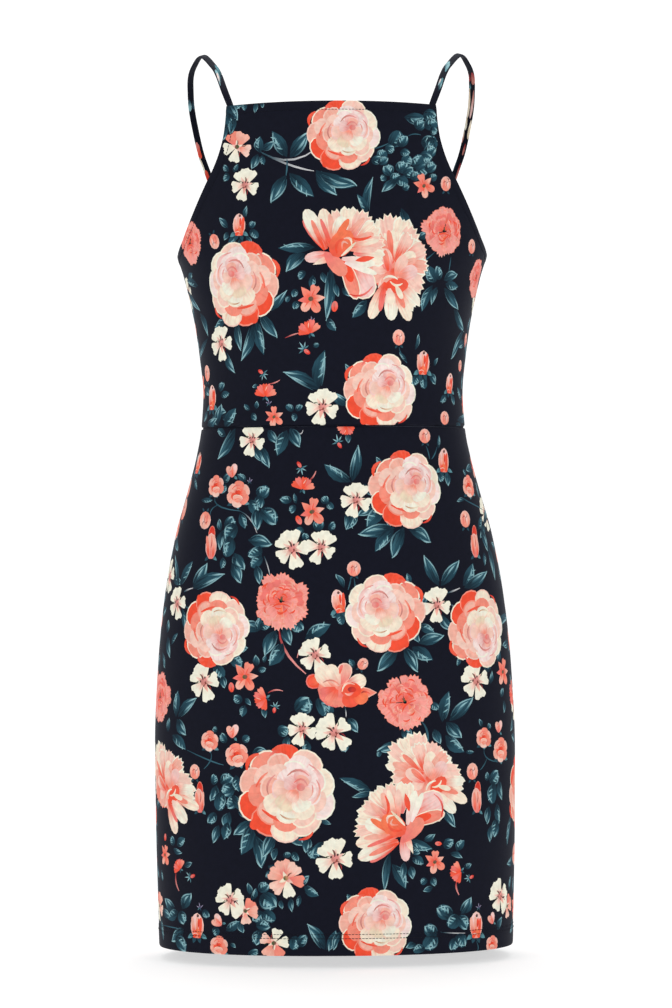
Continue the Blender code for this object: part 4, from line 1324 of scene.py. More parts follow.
# Stems: where each starts, which point it bends through and where it ends, and its colour
Stem = namedtuple("Stem", "x y by_x by_y to_x to_y width colour")
STEMS = [Stem(*row) for row in (
    (261, 152, 289, 160, 316, 149, 2.8, "pale"), (262, 153, 290, 165, 314, 171, 3.0, "pale"),
    (287, 159, 287, 167, 286, 176, 2.4, "teal"), (372, 149, 380, 147, 389, 143, 1.8, "teal"),
    (408, 136, 414, 134, 421, 135, 1.6, "teal"), (435, 252, 428, 258, 420, 264, 1.8, "teal"),
    (451, 257, 450, 264, 449, 271, 1.8, "teal"), (399, 347, 402, 356, 407, 363, 2.0, "teal"),
    (279, 629, 286, 652, 306, 674, 3.6, "red"), (305, 643, 300, 650, 297, 658, 2.0, "red"),
    (285, 338, 292, 335, 299, 333, 1.8, "red"), (268, 384, 274, 383, 280, 380, 1.8, "red"),
    (309, 480, 313, 477, 316, 471, 2.2, "red"), (268, 693, 275, 690, 283, 691, 2.2, "red"),
    (176, 873, 176, 882, 179, 891, 2.4, "red"), (457, 881, 456, 887, 459, 895, 2.4, "red"),
    (215, 497, 219, 506, 240, 511, 2.2, "teal"), (218, 505, 212, 509, 210, 515, 1.6, "teal"),
    (240, 511, 250, 519, 257, 533, 1.8, "pale"), (264, 556, 267, 564, 270, 575, 1.6, "pale"),
    (184, 592, 187, 590, 193, 588, 2.4, "pale"), (184, 606, 188, 608, 193, 611, 2.4, "teal"),
    (426, 446, 428, 451, 430, 459, 1.8, "teal"), (437, 447, 435, 454, 432, 459, 1.8, "teal"),
    (463, 498, 471, 503, 483, 510, 2.0, "teal"), (351, 578, 350, 583, 348, 590, 1.8, "teal"),
    (354, 578, 355, 586, 355, 595, 1.8, "teal"), (447, 593, 453, 591, 460, 588, 2.4, "pale"),
    (450, 604, 455, 607, 461, 611, 2.4, "pale"), (422, 722, 427, 731, 428, 745, 3.0, "teal"),
    (187, 750, 209, 760, 224, 765, 2.0, "teal"), (211, 752, 211, 760, 204, 769, 1.8, "teal"),
    (484, 749, 487, 758, 498, 762, 1.8, "teal"), (487, 758, 484, 765, 480, 770, 1.6, "teal"),
    (163, 925, 171, 927, 181, 929, 1.6, "teal"), (440, 932, 452, 933, 465, 933, 1.6, "pale"),
    (327, 708, 330, 714, 333, 718, 1.6, "pale"), (345, 707, 346, 713, 346, 717, 1.6, "pale"),
    (476, 941, 478, 947, 477, 952, 1.6, "teal"), (294, 430, 300, 434, 303, 430, 1.4, "pale"),
)]


# A first guess of how far forward the cloth lies, and how often the guess is improved
DEPTH_GUESS = 0.09
DEPTH_ROUNDS = 5


def on_figure(x, y):
    """Return the height and the distance aside at which a chart place meets the figure's front."""
    cos, sin = math.cos(CAMERA_ROLL), math.sin(CAMERA_ROLL)
    right = x - FRAME_WIDTH / 2
    up = FRAME_HEIGHT / 2 - y
    right, up = right * cos + up * sin, up * cos - right * sin
    form = FORMS["front"]
    depth = DEPTH_GUESS
    for _ in range(DEPTH_ROUNDS):
        near = (CAMERA_DISTANCE - depth) / CAMERA_DISTANCE * FRAME_UNIT
        level = CAMERA_LEVEL + up * near
        aside = CAMERA_ASIDE + right * near
        row = int(np.clip(round((form.top - level) / TABLE_STEP), 0, len(form.levels) - 1))
        depth = float(np.interp(abs(aside), form.across[row], form.out[row]))
    return aside, level


def on_cloth(x, y):
    """Return the place on the front's flat cloth that lies at a place on the chart."""
    aside, level = on_figure(x, y)
    return np.array([FORMS["front"].arc_at(aside, level), level])


STEM_COLOURS = {"teal": (TEAL, TEAL_EDGE), "pale": (TEAL, PALE_STEM), "red": (MAROON, ROSE)}

# How far the print repeats across the cloth, and how much lower it lies on the back
REPEAT = 0.262
BACK_DROP = 0.088

# How tall the strip of painted shade is on each side of the waist seam, where the cloth dips into it:
# plain navy laid over the print. Then how far that strip reaches from the middle
PAINTED_SEAM_SHADE = 0.0007
PAINTED_SEAM_SHADE_REACH = 0.25

# A stem's real width, as a share of the charted one
STEM_SHARE = 0.7


def print_patches(move=(0.0, 0.0), half=0):
    """Return the patches of the print on the bodice and on the skirt, in painting order, ending with strips
    of painted shade along the waist seam.

    The whole print is moved across the cloth. Where half is 1 or -1, only what then lies on the
    right or on the left of the middle is kept.
    """
    cloth = {"bodice": [], "skirt": []}
    move = np.array(move)

    def pieces_at(place):
        """Return the list that a patch at a place goes into, or a spare one that is dropped."""
        if half * place[0] < 0:
            return []
        return cloth["bodice"] if place[1] > WAIST_LEVEL else cloth["skirt"]

    for number, stem in enumerate(STEMS):
        start = on_cloth(stem.x, stem.y) + move
        middle = on_cloth(stem.by_x, stem.by_y) + move
        end = on_cloth(stem.to_x, stem.to_y) + move
        low, high = STEM_COLOURS[stem.colour]
        brush = Brush(pieces_at(start), (0, 0), 1.0, 0, number)
        brush.stroke(start, middle, end, stem.width * FRAME_UNIT * STEM_SHARE, low, high)
    for number, leaf in enumerate(LEAVES):
        start = on_cloth(leaf.x, leaf.y) + move
        end = on_cloth(leaf.to_x, leaf.to_y) + move
        brush = Brush(pieces_at(start), start, 1.0, 0, number)
        draw_leaf(brush, end - start, leaf.width * FRAME_UNIT, number)
    for number, motif in enumerate(CHART):
        place = on_cloth(motif.x, motif.y) + move
        size = motif.size / 2 * FRAME_UNIT
        brush = Brush(pieces_at(place), place, size, motif.turn, number, motif.over)
        if motif.kind == "carnation":
            draw_carnation(brush)
        else:
            brush.draw(FLOWERS[motif.kind])
    # A strip of plain navy along each side of the waist seam, over the print: painted seam shade
    reach = PAINTED_SEAM_SHADE_REACH
    for level, shade_height in (("bodice", PAINTED_SEAM_SHADE), ("skirt", -PAINTED_SEAM_SHADE)):
        line = np.array([(-reach, 0), (reach, 0), (reach, shade_height), (-reach, shade_height)]) + (0, WAIST_LEVEL)
        cloth[level].append(Patch(line, line[0], line[1], shade_height, NAVY, NAVY, 0.0, 0.0))
    return cloth


# Flowers beside the front's side seams, which the photo hides, as seen from the front: on which
# side they lie, how far from the seam and at what height, in metres, then size and turn
Beside = namedtuple("Beside", "side kind gap level size turn")
BESIDE_SEAMS = [Beside(side, *row) for side, rows in (
    (-1, (
        ("blossom", 0.022, -0.228, 32, 20), ("bud", 0.012, -0.262, 16, 0), ("coral", 0.014, -0.318, 26, 0),
        ("sprig", 0.01, -0.392, 11, 0), ("rosette", 0.014, -0.452, 24, 0),
        ("blossom", 0.026, -0.498, 34, 40), ("bud", 0.01, -0.54, 17, 0), ("coral", 0.012, -0.6, 28, 10),
        ("blossom", 0.016, -0.672, 34, 60), ("rosebud", 0.012, -0.725, 25, 0),
        ("star", 0.01, -0.765, 15, 0), ("rosy", 0.022, -0.812, 30, 0),
    )),
    (1, (
        ("rosy", 0.016, -0.235, 30, 10), ("bud", 0.026, -0.275, 16, 0), ("star", 0.012, -0.3, 15, 0),
        ("coral", 0.012, -0.335, 22, 0), ("coral", 0.012, -0.395, 26, 0), ("blossom", 0.024, -0.44, 34, 30),
        ("bud", 0.01, -0.48, 17, 0), ("rosebud", 0.012, -0.56, 25, 0), ("blossom", 0.012, -0.622, 34, 0),
        ("sprig", 0.01, -0.66, 10, 0), ("rosette", 0.014, -0.765, 24, 0), ("coral", 0.012, -0.815, 28, 20),
    )),
) for row in rows]

# Leaves round each of these flowers: their size in metres, the ways they point, in degrees, how
# far those turn from flower to flower, and where a leaf starts, as a share of the flower's size
SIDE_LEAF_LENGTH = 0.019
SIDE_LEAF_WIDTH = 0.0085
SIDE_LEAF_TURNS = (35, 150, 265)
SIDE_LEAF_SHIFT = 40
SIDE_LEAF_FOOT = 0.8


def seam_patches():
    """Return the patches beside the front's side seams, on the bodice and on the skirt."""
    cloth = {"bodice": [], "skirt": []}
    for number, flower in enumerate(BESIDE_SEAMS):
        pieces = cloth["bodice"] if flower.level > WAIST_LEVEL else cloth["skirt"]
        arc = float(FORMS["front"].half_length(flower.level)) - flower.gap
        place = np.array([flower.side * arc, flower.level])
        size = flower.size / 2 * FRAME_UNIT
        for turn in SIDE_LEAF_TURNS:
            way = heading(turn + SIDE_LEAF_SHIFT * number)
            brush = Brush(pieces, place + way * size * SIDE_LEAF_FOOT, 1.0, 0, number)
            draw_leaf(brush, way * SIDE_LEAF_LENGTH, SIDE_LEAF_WIDTH, number)
        Brush(pieces, place, size, flower.turn, number).draw(FLOWERS[flower.kind])
    return cloth


def doubled_area(points):
    """Return twice the signed area of a closed outline, positive if it runs anticlockwise."""
    after = np.roll(points, -1, 0)
    return float((points[:, 0] * after[:, 1] - after[:, 0] * points[:, 1]).sum())


def inside(places, outline):
    """Return whether each place lies inside a closed outline."""
    found = np.zeros(len(places), bool)
    for start, end in zip(outline, np.roll(outline, -1, 0)):
        crosses = (start[1] > places[:, 1]) != (end[1] > places[:, 1])
        if start[1] == end[1]:
            continue
        at = start[0] + (places[:, 1] - start[1]) / (end[1] - start[1]) * (end[0] - start[0])
        found ^= crosses & (places[:, 0] < at)
    return found


# The triangles are worked out in millimetres, and points nearer than this are joined
MILLIMETRES = 1000
JOIN_DISTANCE = 0.0005
KEEP_INSIDE = 1


def triangulated(outline, loose, patches):
    """Return the places, triangles and topmost patch numbers of an outline with patches on it.

    Patch 0 is the plain ground. The last number is 0 where no patch lies.
    """
    points = [outline, loose]
    faces = [list(range(len(outline)))]
    first = len(outline) + len(loose)
    for patch in patches:
        ring = patch.outline if doubled_area(patch.outline) > 0 else patch.outline[::-1]
        points.append(ring)
        faces.append(list(range(first, first + len(ring))))
        first += len(ring)
    places = np.vstack(points) * MILLIMETRES
    vectors = [Vector((float(x), float(y))) for x, y in places]
    result = delaunay_2d_cdt(vectors, [], faces, KEEP_INSIDE, JOIN_DISTANCE, True)
    corners, _, triangles, origins, _, owners = result
    kept = []
    top = []
    for triangle, owner in zip(triangles, owners):
        if 0 in owner and len(triangle) == 3:
            kept.append(triangle)
            top.append(max(owner))
    places = np.array([(corner.x, corner.y) for corner in corners]) / MILLIMETRES
    found = {}
    for after, before in enumerate(origins):
        for number in before:
            found[number] = after
    return places, np.array(kept), np.array(top), found


def border_loop(triangles):
    """Return the corners of the triangles' edge in order, anticlockwise."""
    edges = {}
    for a, b, c in triangles.tolist():
        edges.update({(a, b): 1, (b, c): 1, (c, a): 1})
    ahead = {a: b for a, b in edges if (b, a) not in edges}
    start = next(iter(ahead))
    loop = [start]
    while ahead[loop[-1]] != start:
        loop.append(ahead[loop[-1]])
    return np.array(loop)


def compact(places, triangles):
    """Return the places that triangles use, and the triangles with their new numbers."""
    used = np.unique(triangles)
    number = np.full(len(places), -1)
    number[used] = np.arange(len(used))
    return places[used], number[triangles]


def near_outline(outline, patches):
    """Return the patches that may touch an outline's box."""
    low = outline.min(0)
    high = outline.max(0)
    kept = []
    for patch in patches:
        if (patch.outline.max(0) > low).all() and (patch.outline.min(0) < high).all():
            kept.append(patch)
    return kept


def brush_values(places, top, triangles, patches):
    """Return the colours and stroke values at each triangle's corners."""
    ground = screen(NAVY) + [1.0]
    low = np.array([ground] + [screen(patch.low) + [1.0] for patch in patches])
    high = np.array([ground] + [screen(patch.high) + [1.0] for patch in patches])
    base = np.array([(0.0, 0.0)] + [patch.base for patch in patches])
    tip = np.array([(0.0, 0.1)] + [patch.tip for patch in patches])
    half = np.array([0.1] + [patch.half_width for patch in patches])
    streak = np.array([0.0] + [patch.streak for patch in patches])
    seed = np.array([0.0] + [patch.seed for patch in patches])
    owner = np.repeat(top, 3)
    corner = places[triangles.reshape(-1)] - base[owner]
    run = (tip - base)[owner]
    length = np.maximum(np.linalg.norm(run, axis=1), 1e-6)
    along = (corner * run).sum(1) / length ** 2
    across = (corner[:, 1] * run[:, 0] - corner[:, 0] * run[:, 1]) / length / half[owner]
    stroke = np.stack([along, across, seed[owner] * 10, streak[owner]], 1)
    return low[owner], high[owner], stroke


def fitted(places, low, high, box):
    """Return places as positions in a box of the texture map."""
    share = (places - low) / (high - low)
    left, bottom, right, top = box
    return np.stack([left + share[:, 0] * (right - left), bottom + share[:, 1] * (top - bottom)], 1)


# Boxes of the texture map, as left, bottom, right and top
OUTER_BOX = (0.005, 0.080, 0.995, 0.995)
INNER_BOX = (0.005, 0.005, 0.995, 0.060)
RIM_BOX = (0.005, 0.064, 0.995, 0.074)
STRAP_BOX = (0.01, 0.01, 0.99, 0.99)


def put_colours(mesh, low, high, stroke):
    """Store the print's colours and strokes at the corners of a mesh."""
    for name, values in (("low", low), ("high", high), ("stroke", stroke)):
        colours = mesh.attributes.new(name, "FLOAT_COLOR", "CORNER")
        colours.data.foreach_set("color", values.reshape(-1))


def put_texture_map(mesh, positions):
    """Store the positions of a mesh's corners in the texture map."""
    texture_map = mesh.uv_layers.new(name="OFBake")
    texture_map.data.foreach_set("uv", positions.reshape(-1))


def put_in_scene(mesh, node_name):
    """Add a mesh as a piece that rides the dress's body and replaces a node."""
    piece = bpy.data.objects.new(mesh.name, mesh)
    bpy.context.scene.collection.objects.link(piece)
    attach(piece, "root")
    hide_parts(node_name)
    return piece


def make_cloth(panel, patches, materials):
    """Build one panel of the dress as a thin closed piece with the print on its outer face."""
    patches = near_outline(panel.outline, patches)
    loose = np.vstack([grid_places(panel, GRID_STEP), fine_places(panel)])
    loose = loose[inside(loose, panel.outline)]
    clear = line_distance(loose, closed(panel.outline)) > LINE_REACH
    places, triangles, top, _ = triangulated(panel.outline, loose[clear], patches)
    places, triangles = compact(places, triangles)
    loop = border_loop(triangles)
    edge = places[loop]

    coarse = grid_places(panel, LINING_STEP)
    coarse = coarse[inside(coarse, panel.outline)]
    clear = line_distance(coarse, closed(panel.outline)) > LINING_CLEAR
    extra = [coarse[clear]]
    for gap_from, depth in panel.hems:
        for offset in LINING_LINES:
            moved = inset_outline(panel.outline, depth + offset)
            extra.append(moved[np.abs(gap_from(moved) - depth - offset) < LINE_REACH])
    lining, back, _, found = triangulated(edge, np.vstack(extra), [])
    match = np.array([found[number] for number in range(len(edge))])

    outer_points, out = panel.surface(places)
    lining_points, lining_out = panel.surface(lining)
    thick = np.where(panel.turned(lining), TURNED_CLOTH, CLOTH)
    lining_points = lining_points - lining_out * thick[:, None]

    count = len(places)
    after = np.roll(loop, -1)
    under_before = match + count
    under_after = np.roll(match, -1) + count
    rim = np.concatenate([
        np.stack([after, loop, under_before], 1),
        np.stack([after, under_before, under_after], 1),
    ])
    rim = rim[(rim[:, 1] != rim[:, 2]) & (rim[:, 0] != rim[:, 2])]
    points = np.vstack([outer_points, lining_points])
    faces = np.vstack([triangles, back[:, ::-1] + count, rim])

    mesh = bpy.data.meshes.new(panel.name + "_cloth")
    mesh.from_pydata(points.tolist(), [], faces.tolist())
    mesh.polygons.foreach_set("use_smooth", np.ones(len(faces), bool))

    rim_before = points[rim[:, 1]] - points[rim[:, 0]]
    rim_out = np.cross(rim_before, points[rim[:, 2]] - points[rim[:, 0]])
    rim_out /= np.maximum(np.linalg.norm(rim_out, axis=1), TINY)[:, None]
    normals = np.vstack([
        panel.normals(places)[triangles.reshape(-1)],
        -lining_out[back[:, ::-1].reshape(-1)],
        np.repeat(rim_out, 3, 0),
    ])
    mesh.normals_split_custom_set(normals.tolist())

    low, high, stroke = brush_values(places, top, triangles, patches)
    rest = 3 * (len(back) + len(rim))
    plain = np.tile(screen(NAVY) + [1.0], (rest, 1))
    unpainted = np.zeros((rest, 4))
    put_colours(mesh, np.vstack([low, plain]), np.vstack([high, plain]), np.vstack([stroke, unpainted]))

    low_corner = panel.outline.min(0)
    high_corner = panel.outline.max(0)
    outer_map = fitted(places[triangles.reshape(-1)], low_corner, high_corner, OUTER_BOX)
    inner_map = fitted(lining[back[:, ::-1].reshape(-1)], low_corner, high_corner, INNER_BOX)
    rim_map = rim_positions(len(loop))[: len(rim) * 3]
    put_texture_map(mesh, np.vstack([outer_map, inner_map, rim_map]))

    turned = panel.turned(lining[back].mean(1))
    slots = np.concatenate([
        np.zeros(len(triangles), int), np.where(turned, 0, 1), np.zeros(len(rim), int),
    ])
    mesh.polygons.foreach_set("material_index", slots)
    for material in materials:
        mesh.materials.append(material)
    mesh.update()
    return put_in_scene(mesh, panel.name)


def rim_positions(count):
    """Return texture positions for the triangles of a rim with a number of steps."""
    width = RIM_BOX[2] - RIM_BOX[0]
    left = RIM_BOX[0] + width * np.arange(count) / count
    right = left + width / count
    bottom = np.full(count, RIM_BOX[1])
    top = np.full(count, RIM_BOX[3])
    first = np.stack([right, top, left, top, left, bottom], 1)
    second = np.stack([right, top, left, bottom, right, bottom], 1)
    return np.vstack([first, second]).reshape(-1, 2)


# Straps, in metres
STRAP_WIDTH = 0.0065
STRAP_THICKNESS = 0.0020
STRAP_POWER = 3.2
STRAP_STEPS = 180
STRAP_TUCK = 0.0105
STRAP_SET_BACK = 0.0019
BACK_STRAP_SHARE = 0.52
WALL = 0.0015
SECTION_STEPS = 96

# How deep each tucked station lies, as a share of the tuck, and how far back the foot is set
TUCK_SHARES = (0.35, 1.0)
FOOT_SET_BACK = 0.55

# How finely the straps are worked out and divided, in metres where they are lengths
FOOT_REACH = 0.003
WAY_STEPS = 40
CUT_STEPS = 8
STRAP_STEP = 0.003
STRAP_COLUMNS = 24
STRAP_END_STEPS = 12
STRAP_SEAM = 0.0001

# The middle of the wearer's left strap from front to back, and the way its flat side faces
Way = namedtuple("Way", "x y z face_x face_y face_z")
STRAP_WAY = (
    Way(0.1008, -0.0600, -0.0388, 0.17, -0.80, 0.45),
    Way(0.1070, -0.0395, -0.0211, 0.14, -0.60, 0.75),
    Way(0.1127, -0.0250, -0.0110, 0.18, -0.35, 0.90),
    Way(0.1238, 0.0000, 0.0010, 0.35, 0.00, 0.95),
    Way(0.1325, 0.0220, -0.0070, 0.40, 0.35, 0.85),
    Way(0.1362, 0.0380, -0.0155, 0.45, 0.55, 0.70),
    Way(0.1370, 0.0520, -0.0268, 0.45, 0.75, 0.50),
    Way(0.1366, 0.0640, -0.0412, 0.45, 0.85, 0.35),
    Way(0.1343, 0.0730, -0.0570, 0.42, 0.90, 0.22),
    Way(0.1285, 0.0810, -0.0843, 0.40, 0.92, 0.12),
    Way(0.1218, 0.0852, -0.1040, 0.38, 0.93, 0.06),
    Way(0.1090, 0.0872, -0.1420, 0.34, 0.94, 0.00),
)


def strap_foot(side, arc, level):
    """Return where a strap meets a top edge, the way it faces, and its tucked end below."""
    form = FORMS[side]

    def at(shift, height):
        """Return the point of the figure beside the foot, at a height."""
        return form.points(np.array([arc + shift]), np.array([height]))[0]

    across = at(FOOT_REACH, level) - at(-FOOT_REACH, level)
    face = np.array([across[1], -across[0], 0.0])
    face /= np.linalg.norm(face)
    face = face * np.sign(face[1] * form.sign)
    middle = at(0, level) - face * WALL / 2
    tucked = []
    for depth in TUCK_SHARES:
        low = at(0, level - STRAP_TUCK * depth)
        tucked.append((low - face * (WALL / 2 + STRAP_SET_BACK), face))
    return (middle - face * STRAP_SET_BACK * FOOT_SET_BACK, face), tucked


class Strap:
    """A narrow folded band of cloth that follows the strap's way."""

    def __init__(self, mirror):
        self.mirror = mirror
        hole = armhole_line()
        front_reach = float(hole[-1, 0])
        front_arc = front_reach - STRAP_WIDTH / 2 - SEAM_GAP
        back_reach = float(FORMS["back"].half_length(UNDERARM_LEVEL))
        back_arc = -BACK_STRAP_SHARE * back_reach
        front_level = neck_level(front_arc / front_reach)
        top, tucked = strap_foot("front", front_arc, front_level)
        stations = tucked[::-1] + [top]
        for way in STRAP_WAY:
            face = np.array(way[3:])
            stations.append((np.array(way[:3]), face / np.linalg.norm(face)))
        top, tucked = strap_foot("back", back_arc, back_level(back_arc / back_reach))
        stations += [top] + tucked
        self.middles, self.across, self.out, self.length = self.swept(stations)
        self.section, self.around = self.cut()
        self.outline = self.flat_outline()

    def swept(self, stations):
        """Return the strap's middles, sideways and outward directions at even steps."""
        count = len(stations)
        points = np.array([station[0] for station in stations])
        faces = np.array([station[1] for station in stations])
        fine = np.linspace(0, count - 1, WAY_STEPS * (count - 1) + 1)
        index = np.minimum(fine.astype(int), count - 2)
        share = (fine - index)[:, None]

        def curve(values):
            """Run a smooth curve through the stations' values."""
            before = values[np.maximum(index - 1, 0)]
            start = values[index]
            end = values[index + 1]
            after = values[np.minimum(index + 2, count - 1)]
            return 0.5 * (2 * start + (end - before) * share
                          + (2 * before - 5 * start + 4 * end - after) * share ** 2
                          + (3 * start - before - 3 * end + after) * share ** 3)

        line = curve(points)
        facing = curve(faces)
        run = run_lengths(line)
        wanted = np.linspace(0, run[-1], STRAP_STEPS + 1)
        middles = np.stack([np.interp(wanted, run, line[:, axis]) for axis in range(3)], 1)
        facing = np.stack([np.interp(wanted, run, facing[:, axis]) for axis in range(3)], 1)
        ahead = np.gradient(middles, axis=0)
        across = np.cross(ahead, facing)
        across /= np.linalg.norm(across, axis=1)[:, None]
        out = np.cross(across, ahead)
        out /= np.linalg.norm(out, axis=1)[:, None]
        return middles, across, out, run[-1]

    def cut(self):
        """Return the rounded cross-section as a table, from its underside right round."""
        angles = np.linspace(-math.pi / 2, 3 * math.pi / 2, SECTION_STEPS * CUT_STEPS + 1)
        cos, sin = np.cos(angles), np.sin(angles)
        power = 2 / STRAP_POWER
        x = STRAP_WIDTH / 2 * np.sign(cos) * np.abs(cos) ** power
        y = STRAP_THICKNESS / 2 * np.sign(sin) * np.abs(sin) ** power
        run = np.concatenate([[0], np.cumsum(np.hypot(np.diff(x), np.diff(y)))])
        wanted = np.linspace(0, run[-1], SECTION_STEPS + 1)
        return np.stack([np.interp(wanted, run, x), np.interp(wanted, run, y)], 1), run[-1]

    def flat_outline(self):
        """Return the strap's flat outline: across it in x and along it in y."""
        half = self.around / 2 - STRAP_SEAM
        count = steps(self.length, STRAP_STEP)
        runs = np.linspace(0, self.length, count + 1)
        right = np.stack([np.full(count + 1, half), runs], 1)
        left = np.stack([np.full(count + 1, -half), runs[::-1]], 1)
        ends = np.linspace(-half, half, STRAP_END_STEPS + 1)[1:-1]
        low = np.stack([ends, np.zeros(len(ends))], 1)
        high = np.stack([ends[::-1], np.full(len(ends), self.length)], 1)
        return np.vstack([left[-1:], low, right, high, left[:-1]])

    def points(self, places):
        """Return the points of the strap's surface at places on its flat cloth."""
        step = np.clip(places[:, 1] / self.length * STRAP_STEPS, 0, STRAP_STEPS - 1e-6)
        row = step.astype(int)
        share = (step - row)[:, None]
        turn = np.clip((places[:, 0] / self.around + 0.5) * SECTION_STEPS, 0, SECTION_STEPS - 1e-6)
        column = turn.astype(int)
        part = (turn - column)[:, None]
        cut = self.section[column] * (1 - part) + self.section[column + 1] * part

        def read(table):
            """Read a table between two of the strap's steps."""
            return table[row] * (1 - share) + table[row + 1] * share

        found = read(self.middles) + read(self.across) * cut[:, :1] + read(self.out) * cut[:, 1:]
        return found * (self.mirror, 1.0, 1.0)

    def normals(self, places):
        """Return the directions in which the strap's surface faces."""
        return facing(self.points, places, STRAP_NORMAL_STEP)


# Print on the straps: which strap and leg, between which chart rows, how far it lies from the
# seam on the back legs, its width and its colours
Spot = namedtuple("Spot", "strap leg start end aside width low high")
STRAP_SPOTS = [Spot(strap, leg, *row) for strap, leg, rows in (
    ("strap_right", "front", (
        (66, 79, 0.0014, 0.0026, TEAL_DARK, TEAL_LIGHT), (69, 82, -0.0004, 0.0024, TEAL, TEAL_PALE),
        (73, 85, -0.002, 0.0018, TEAL_LIGHT, MILK),
    )),
    ("strap_right", "back", (
        (98, 110, -0.0022, 0.004, TEAL, TEAL_PALE), (99, 109, 0.0022, 0.0038, TEAL_DARK, TEAL),
        (141, 157, -0.0022, 0.0056, ROSE, RED_CORAL), (156, 172, -0.0028, 0.0018, CREAM, IVORY),
        (169, 183, -0.0016, 0.005, CORAL, RED),
    )),
    ("strap_left", "front", (
        (63, 70, 0.0008, 0.003, TEAL, TEAL_PALE), (65, 73, -0.001, 0.0028, TEAL_LIGHT, TEAL_PALE),
        (79, 92, -0.0006, 0.003, TEAL_DARK, TEAL_LIGHT), (80, 87, 0.001, 0.0012, TEAL_PALE, MILK),
        (84, 90, -0.0014, 0.001, TEAL_LIGHT, TEAL_PALE),
    )),
    ("strap_left", "back", (
        (72, 85, -0.002, 0.0044, MAROON, ROSE_BROWN), (73, 83, 0.0022, 0.0034, DARK, MAROON),
        (84, 90, 0.0014, 0.002, TEAL, TEAL_LIGHT), (89, 120, 0.0022, 0.0026, STRAW, CREAM),
        (90, 119, -0.0024, 0.0022, ROSE_BROWN, SHELL), (119, 132, 0.0024, 0.003, STRAW, IVORY),
        (120, 139, -0.0026, 0.0026, CREAM, STRAW), (132, 144, 0.0026, 0.0024, CREAM, ROSE_BROWN),
        (144, 156, -0.0014, 0.0018, MAROON, ROSE_BROWN), (163, 181, -0.0022, 0.002, MAROON, ROSE_BROWN),
        (160, 172, 0.0022, 0.0014, TEAL_DARK, TEAL),
    )),
) for row in rows]


def chart_rows(middles):
    """Return the chart rows at which points of the straps show."""
    near = (CAMERA_DISTANCE + middles[:, 1]) / CAMERA_DISTANCE * FRAME_UNIT
    return FRAME_HEIGHT / 2 - (middles[:, 2] - CAMERA_LEVEL) / near


def strap_patches(name, strap):
    """Return the patches of print on one strap."""
    patches = []
    rows = chart_rows(strap.middles)
    runs = np.linspace(0, strap.length, len(rows))
    top = int(np.argmin(rows))
    for number, spot in enumerate(STRAP_SPOTS):
        if spot.strap != name:
            continue
        if spot.leg == "front":
            start, end = np.interp((spot.end, spot.start), rows[:top][::-1], runs[:top][::-1])
            aside = spot.aside
        else:
            start, end = np.interp((spot.start, spot.end), rows[top:], runs[top:])
            side = 1.0 if spot.aside > 0 else -1.0
            aside = side * strap.around / 2 - spot.aside
        brush = Brush(patches, (aside, start), 1.0, 0, number)
        shape = "narrow" if spot.leg == "front" else "round"
        brush.petal(shape, (0, 0), 90, end - start, spot.width, spot.low, spot.high)
    return patches


def make_strap(name, mirror, material):
    """Build one strap as a folded band with its seam underneath."""
    strap = Strap(mirror)
    patches = strap_patches(name, strap)
    low = strap.outline.min(0)
    high = strap.outline.max(0)
    across = np.linspace(low[0], high[0], STRAP_COLUMNS + 1)[1:-1]
    runs = np.arange(STRAP_STEP / 2, strap.length, STRAP_STEP)
    loose = np.stack(np.meshgrid(across, runs), -1).reshape(-1, 2)
    patches = near_outline(strap.outline, patches)
    places, triangles, top, _ = triangulated(strap.outline, loose, patches)
    places, triangles = compact(places, triangles)
    points = strap.points(places)
    normals = strap.normals(places)
    middle = points[triangles].mean(1)
    flat_out = np.cross(points[triangles[:, 1]] - points[triangles[:, 0]],
                        points[triangles[:, 2]] - points[triangles[:, 0]])
    cores = strap.middles * (mirror, 1.0, 1.0)
    nearest = np.argmin(((middle[:1] - cores) ** 2).sum(1))
    outward = middle[0] - cores[nearest]
    if flat_out[0] @ outward < 0:
        triangles = triangles[:, ::-1]
    if normals[triangles[0, 0]] @ outward < 0:
        normals = -normals
    low_value, high_value, stroke = brush_values(places, top, triangles, patches)
    mesh = bpy.data.meshes.new(name + "_cloth")
    mesh.from_pydata(points.tolist(), [], triangles.tolist())
    mesh.polygons.foreach_set("use_smooth", np.ones(len(triangles), bool))
    mesh.normals_split_custom_set(normals[triangles.reshape(-1)].tolist())
    put_colours(mesh, low_value, high_value, stroke)
    put_texture_map(mesh, fitted(places[triangles.reshape(-1)], low, high, STRAP_BOX))
    mesh.materials.append(material)
    mesh.update()
    piece = put_in_scene(mesh, name)


# Stitches: the thread's length, thickness and pitch, how far apart the hem's two rows are, and
# how the rows are divided and how far from a seam they end
STITCH_LENGTH = 0.0031
STITCH_THICKNESS = 0.0006
STITCH_STEP = 0.0032
TWIN_ROW = 0.0038
THREAD_SIDES = 6
ROW_POINTS = 400
ROW_END = 0.002

# A stitch's rings: where each lies along it, how wide it is and how far it stands out
THREAD_RINGS = (
    (-1.0, 0.25, -0.6), (-0.7, 0.8, 0.0), (0.0, 1.0, 0.3), (0.7, 0.8, 0.0), (1.0, 0.25, -0.6),
)


